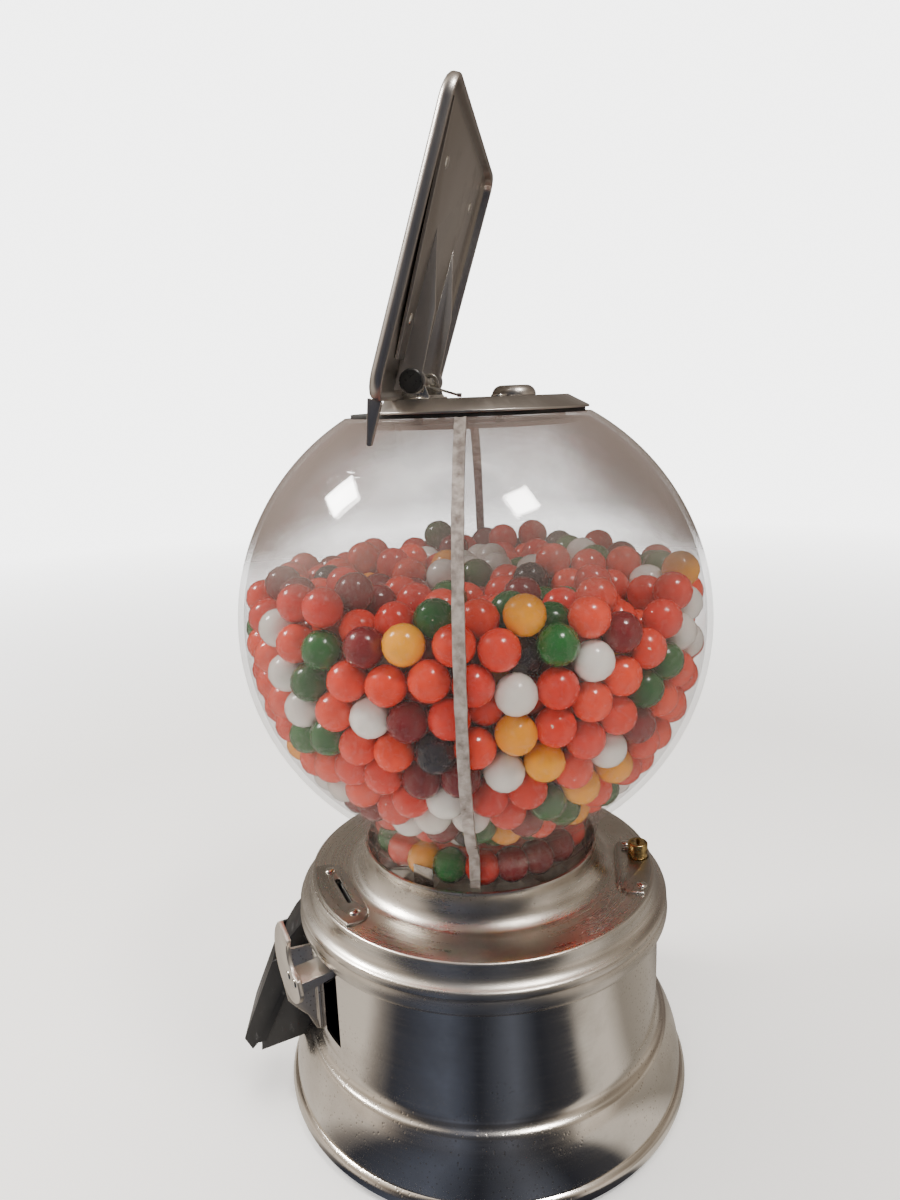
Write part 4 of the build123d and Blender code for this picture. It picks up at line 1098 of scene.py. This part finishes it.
# ---------------------------------------------------------------- other CAD pieces
class GUMBALL_OT_sheet_pieces(bpy.types.Operator):
    """Break the edges of the remaining pieces and give each its finish"""

    bl_idname = "gumball.sheet_pieces"
    bl_label = "Sheet and turned pieces"

    def execute(self, context):
        nickel = plated_nickel()
        steel, rivet = lid_steel(), rivet_steel()
        finish = {
            "nickel_plate": nickel, "rivet_steel": rivet, "lid_steel": steel,
            "black_paint": black_enamel(), "chute_pin_steel": rivet,
            "black_plastic": moulded(
                "black_plastic", (0.012, 0.012, 0.012), (0.03, 0.03, 0.03), 0.3),
            "rubber": moulded("rubber_grey", (0.02, 0.02, 0.02), (0.05, 0.05, 0.048), 0.7),
            "clear_plastic": None, "seam_cement": None, "candy": None, "brass": brass(),
            "zinc_steel": zinc(),
            "wheel_plastic": moulded("wheel_plastic", (0.70, 0.66, 0.56), (0.58, 0.53, 0.44), 0.4),
            "spring_steel": None,
        }
        # The plates' copy of the plating is darkened to 0.62 (painted shade) and the lever's is
        # lightened to 1.05 (painted light)
        plate = plated_nickel("plate_nickel_painted_shade", 0.24, 0.62)
        lever = plated_nickel("lever_nickel_painted_light", 0.34, 1.05)
        own = {
            "coin_plate": plate, "lock_plate": plate, "lever_arm": lever, "lever_blade": lever,
            "lever_guard": lever,
        }
        slots = {row["node"]: row["material_slot"] for row in frame["record"]["subparts"]}
        for name, node in frame["nodes"].items():
            if node.hide_render:
                continue
            material = own.get(name, finish[slots[name]])
            node.data.materials.clear()
            node.data.materials.append(material)
            node.data.polygons.foreach_set("use_smooth", [True] * len(node.data.polygons))
            weld = node.modifiers.new("weld", "WELD")
            weld.merge_threshold = 2e-6
            flatten = node.modifiers.new("flatten", "DECIMATE")
            flatten.decimate_type = "DISSOLVE"
            flatten.angle_limit = radians(0.6)
            bevel = node.modifiers.new("edges", "BEVEL")
            bevel.width = settings("sheet").edge
            bevel.segments = 2
            bevel.limit_method = "ANGLE"
            bevel.angle_limit = radians(38)
            bevel.harden_normals = True
            bevel.use_clamp_overlap = True
        return {"FINISHED"}


# ---------------------------------------------------------------- stage
def ramp(tree, value, stops):
    """A colour ramp's output for a value."""
    node = tree.nodes.new("ShaderNodeValToRGB")
    tree.links.new(value, node.inputs[0])
    while len(node.color_ramp.elements) < len(stops):
        node.color_ramp.elements.new(0.5)
    for element, (at, colour) in zip(node.color_ramp.elements, stops):
        element.position = at
        element.color = (*colour, 1)
    return node.outputs[0]


ROOM = [        # degrees from the camera's side, tone of the room there
    (-180, (0.34, 0.31, 0.28)), (-122, (0.24, 0.21, 0.18)), (-108, (0.92, 0.84, 0.75)),
    (-62, (1.05, 0.96, 0.86)), (-53, (0.34, 0.31, 0.29)), (-44, (0.05, 0.055, 0.075)),
    (-18, (0.13, 0.15, 0.21)), (-4, (0.03, 0.033, 0.045)), (12, (0.14, 0.155, 0.20)),
    (24, (0.035, 0.038, 0.05)), (40, (0.08, 0.08, 0.09)), (46, (0.90, 0.84, 0.76)),
    (60, (0.98, 0.90, 0.81)), (72, (0.40, 0.36, 0.31)), (104, (0.60, 0.54, 0.47)),
    (128, (0.22, 0.19, 0.17)), (180, (0.34, 0.31, 0.28)),
]


def round_tones(tree, x, y):
    """The room's tone in the direction (x, y), for the plating to reflect."""
    def maths(operation, a, b):
        node = tree.nodes.new("ShaderNodeMath")
        node.operation = operation
        for item, value in zip(node.inputs, (a, b)):
            if isinstance(value, bpy.types.NodeSocket):
                tree.links.new(value, item)
            else:
                item.default_value = value
        return node.outputs[0]

    east, north = cos(radians(EYE_AT)), sin(radians(EYE_AT))
    ahead = maths("ADD", maths("MULTIPLY", x, east), maths("MULTIPLY", y, north))
    aside = maths("SUBTRACT", maths("MULTIPLY", y, east), maths("MULTIPLY", x, north))
    share = maths("ADD", maths("DIVIDE", maths("ARCTAN2", aside, ahead), 2 * pi), 0.5)
    return ramp(tree, share, [((at + 180) / 360, tone) for at, tone in ROOM])


def turn_z(vector, degrees):
    """A vector turned about Z."""
    return Matrix.Rotation(radians(degrees), 3, "Z") @ vector


class GUMBALL_OT_stage(bpy.types.Operator):
    """Lay the floor, hang the lights and stand the camera"""

    bl_idname = "gumball.stage"
    bl_label = "Stage"

    def execute(self, context):
        look = settings("stage")
        self.floor(tuple(look.floor))
        self.world()
        self.lights()
        self.camera(look)
        return {"FINISHED"}

    def floor(self, tint):
        bm = bmesh.new()
        bmesh.ops.create_circle(bm, cap_ends=True, segments=96, radius=STAGE_R)
        s = Shader("plain_floor", Roughness=0.75)
        s.set("Base Color", s.mix(s.band(s.noise(3, 3), 0.3, 0.7), tint,
                                  tuple(0.985 * c for c in tint)))
        away = s.add("ShaderNodeVectorMath")
        away.operation = "LENGTH"
        s.link(s.place, away.inputs[0])
        s.set("Alpha", s.band(away.outputs["Value"], 0.45, 1.7, 1.0, 0.0))
        s.set("Emission Color", tint)
        s.set("Emission Strength", 0.45)
        floor = finish_mesh("floor", bm, s.material)
        floor.visible_glossy = False
        self.room_ring()

    def room_ring(self):
        """Tones of a furnished room on the floor, which only the plating reflects."""
        bm = bmesh.new()
        bmesh.ops.create_circle(bm, cap_ends=True, segments=96, radius=STAGE_R)
        material = bpy.data.materials.new("room_tones")
        material.use_nodes = True
        tree = material.node_tree
        tree.nodes.clear()
        add, link = tree.nodes.new, tree.links.new
        place, parts = add("ShaderNodeTexCoord"), add("ShaderNodeSeparateXYZ")
        link(place.outputs["Object"], parts.inputs[0])
        glow, out = add("ShaderNodeEmission"), add("ShaderNodeOutputMaterial")
        link(round_tones(tree, parts.outputs[0], parts.outputs[1]), glow.inputs[0])
        glow.inputs[1].default_value = 0.8
        link(glow.outputs[0], out.inputs[0])
        ring = finish_mesh("room_ring", bm, material)
        ring.location.z = -0.0005
        for ray in ("camera", "diffuse", "transmission", "shadow", "volume_scatter"):
            setattr(ring, "visible_" + ray, False)

    def world(self):
        """Soft studio: pale to the eye, with a dark side towards the camera for the plating."""
        world = bpy.data.worlds.new("studio")
        bpy.context.scene.world = world
        world.use_nodes = True
        tree = world.node_tree
        tree.nodes.clear()
        add, link = tree.nodes.new, tree.links.new
        out = add("ShaderNodeOutputWorld")
        seen, around = add("ShaderNodeBackground"), add("ShaderNodeBackground")
        seen.inputs[0].default_value = (0.96, 0.96, 0.955, 1)
        seen.inputs[1].default_value = 5.0
        place = add("ShaderNodeTexCoord")
        parts = add("ShaderNodeSeparateXYZ")
        link(place.outputs["Generated"], parts.inputs[0])

        around_tone = round_tones(tree, parts.outputs[0], parts.outputs[1])
        height = add("ShaderNodeMapRange")
        height.inputs["From Min"].default_value = -1.0
        link(parts.outputs[2], height.inputs["Value"])
        height_tone = ramp(tree, height.outputs[0], [
            (0.0, (0.55, 0.52, 0.49)), (0.49, (0.62, 0.59, 0.56)), (0.62, (0.9, 0.88, 0.86)),
            (0.72, (0.50, 0.46, 0.42)), (0.86, (0.55, 0.52, 0.48)), (1.0, (1.5, 1.45, 1.4)),
        ])
        product = add("ShaderNodeMix")
        product.data_type = "RGBA"
        product.blend_type = "MULTIPLY"
        product.inputs["Factor"].default_value = 1.0
        link(around_tone, product.inputs[6])
        link(height_tone, product.inputs[7])
        link(product.outputs[2], around.inputs[0])
        around.inputs[1].default_value = 1.15
        light = add("ShaderNodeLightPath")
        choose = add("ShaderNodeMixShader")
        link(light.outputs["Is Camera Ray"], choose.inputs[0])
        link(around.outputs[0], choose.inputs[1])
        link(seen.outputs[0], choose.inputs[2])
        link(choose.outputs[0], out.inputs[0])

    def lights(self):
        middle = Vector((0, 0, 0.20))
        rows = [       # name, bearing, elevation, distance, width, height, watts
            ("window_left", -101, 44, 1.15, 0.26, 0.22, 14.0),
            ("window_right", 38, 60, 1.15, 0.22, 0.20, 9.0),
            ("ceiling", 176, 78, 1.9, 1.6, 1.6, 42.0),
            ("fill", 330, 30, 2.2, 1.4, 1.0, 26.0),
        ]
        for name, bearing, elevation, distance, width, height, watts in rows:
            data = bpy.data.lights.new(name, "AREA")
            data.shape = "RECTANGLE"
            data.size, data.size_y = width, height
            data.energy = watts
            data.color = (1.0, 0.97, 0.93)
            lamp = bpy.data.objects.new(name, data)
            e = radians(elevation)
            away = turn_z(Vector((cos(e), 0, sin(e))), bearing)
            lamp.location = middle + away * distance
            lamp.rotation_euler = (-away).to_track_quat("-Z", "Y").to_euler()
            lamp.visible_glossy = name.startswith("window")
            bpy.context.scene.collection.objects.link(lamp)

    def camera(self, look):
        pitch, roll, yaw = radians(EYE_PITCH), radians(EYE_ROLL), EYE_YAW
        ahead = Vector((0, cos(pitch), -sin(pitch)))
        right = Vector((1, 0, 0))
        up = right.cross(ahead)
        ahead, right, up = (turn_z(v, yaw + EYE_TURN) for v in (ahead, right, up))
        across = cos(roll) * right + sin(roll) * up
        above = -sin(roll) * right + cos(roll) * up
        data = bpy.data.cameras.new("eye")
        data.sensor_width = 36.0
        data.lens = EYE_LENS
        data.clip_start = 0.01
        eye = bpy.data.objects.new("eye", data)
        eye.rotation_mode = "QUATERNION"
        eye.rotation_quaternion = Matrix((across, above, -ahead)).transposed().to_quaternion()
        away = turn_z(Vector((0, -look.eye_distance, 0)), EYE_TURN)
        eye.location = away + Vector((0, 0, look.eye_height))
        bpy.context.scene.collection.objects.link(eye)
        bpy.context.scene.camera = eye


# ---------------------------------------------------------------- add-on
BUILDERS = (
    GUMBALL_OT_stage, GUMBALL_OT_base_shell, GUMBALL_OT_shoulder_cap, GUMBALL_OT_globe,
    GUMBALL_OT_seam, GUMBALL_OT_gumballs, GUMBALL_OT_lid, GUMBALL_OT_springs,
    GUMBALL_OT_rivets, GUMBALL_OT_sheet_pieces,
)


class GUMBALL_PT_panel(bpy.types.Panel):
    """Buttons and settings for the gumball machine"""

    bl_idname = "GUMBALL_PT_panel"
    bl_label = "Gumball machine"
    bl_space_type = "VIEW_3D"
    bl_region_type = "UI"
    bl_category = "Gumball"

    def draw(self, context):
        for name, group in GROUPS.items():
            column = self.layout.column(align=True)
            for key in group.__annotations__:
                column.prop(settings(name), key)
        for builder in BUILDERS:
            self.layout.operator(builder.bl_idname)


def register():
    for name, group in GROUPS.items():
        bpy.utils.register_class(group)
        setattr(bpy.types.Scene, "gumball_" + name, PointerProperty(type=group))
    for item in (*BUILDERS, GUMBALL_PT_panel):
        bpy.utils.register_class(item)


def unregister():
    for item in (GUMBALL_PT_panel, *reversed(BUILDERS)):
        bpy.utils.unregister_class(item)
    for name, group in reversed(GROUPS.items()):
        delattr(bpy.types.Scene, "gumball_" + name)
        bpy.utils.unregister_class(group)


def main():
    register()
    for builder in BUILDERS:
        group, name = builder.bl_idname.split(".")
        getattr(getattr(bpy.ops, group), name)()


if __name__ == "__main__":
    main()
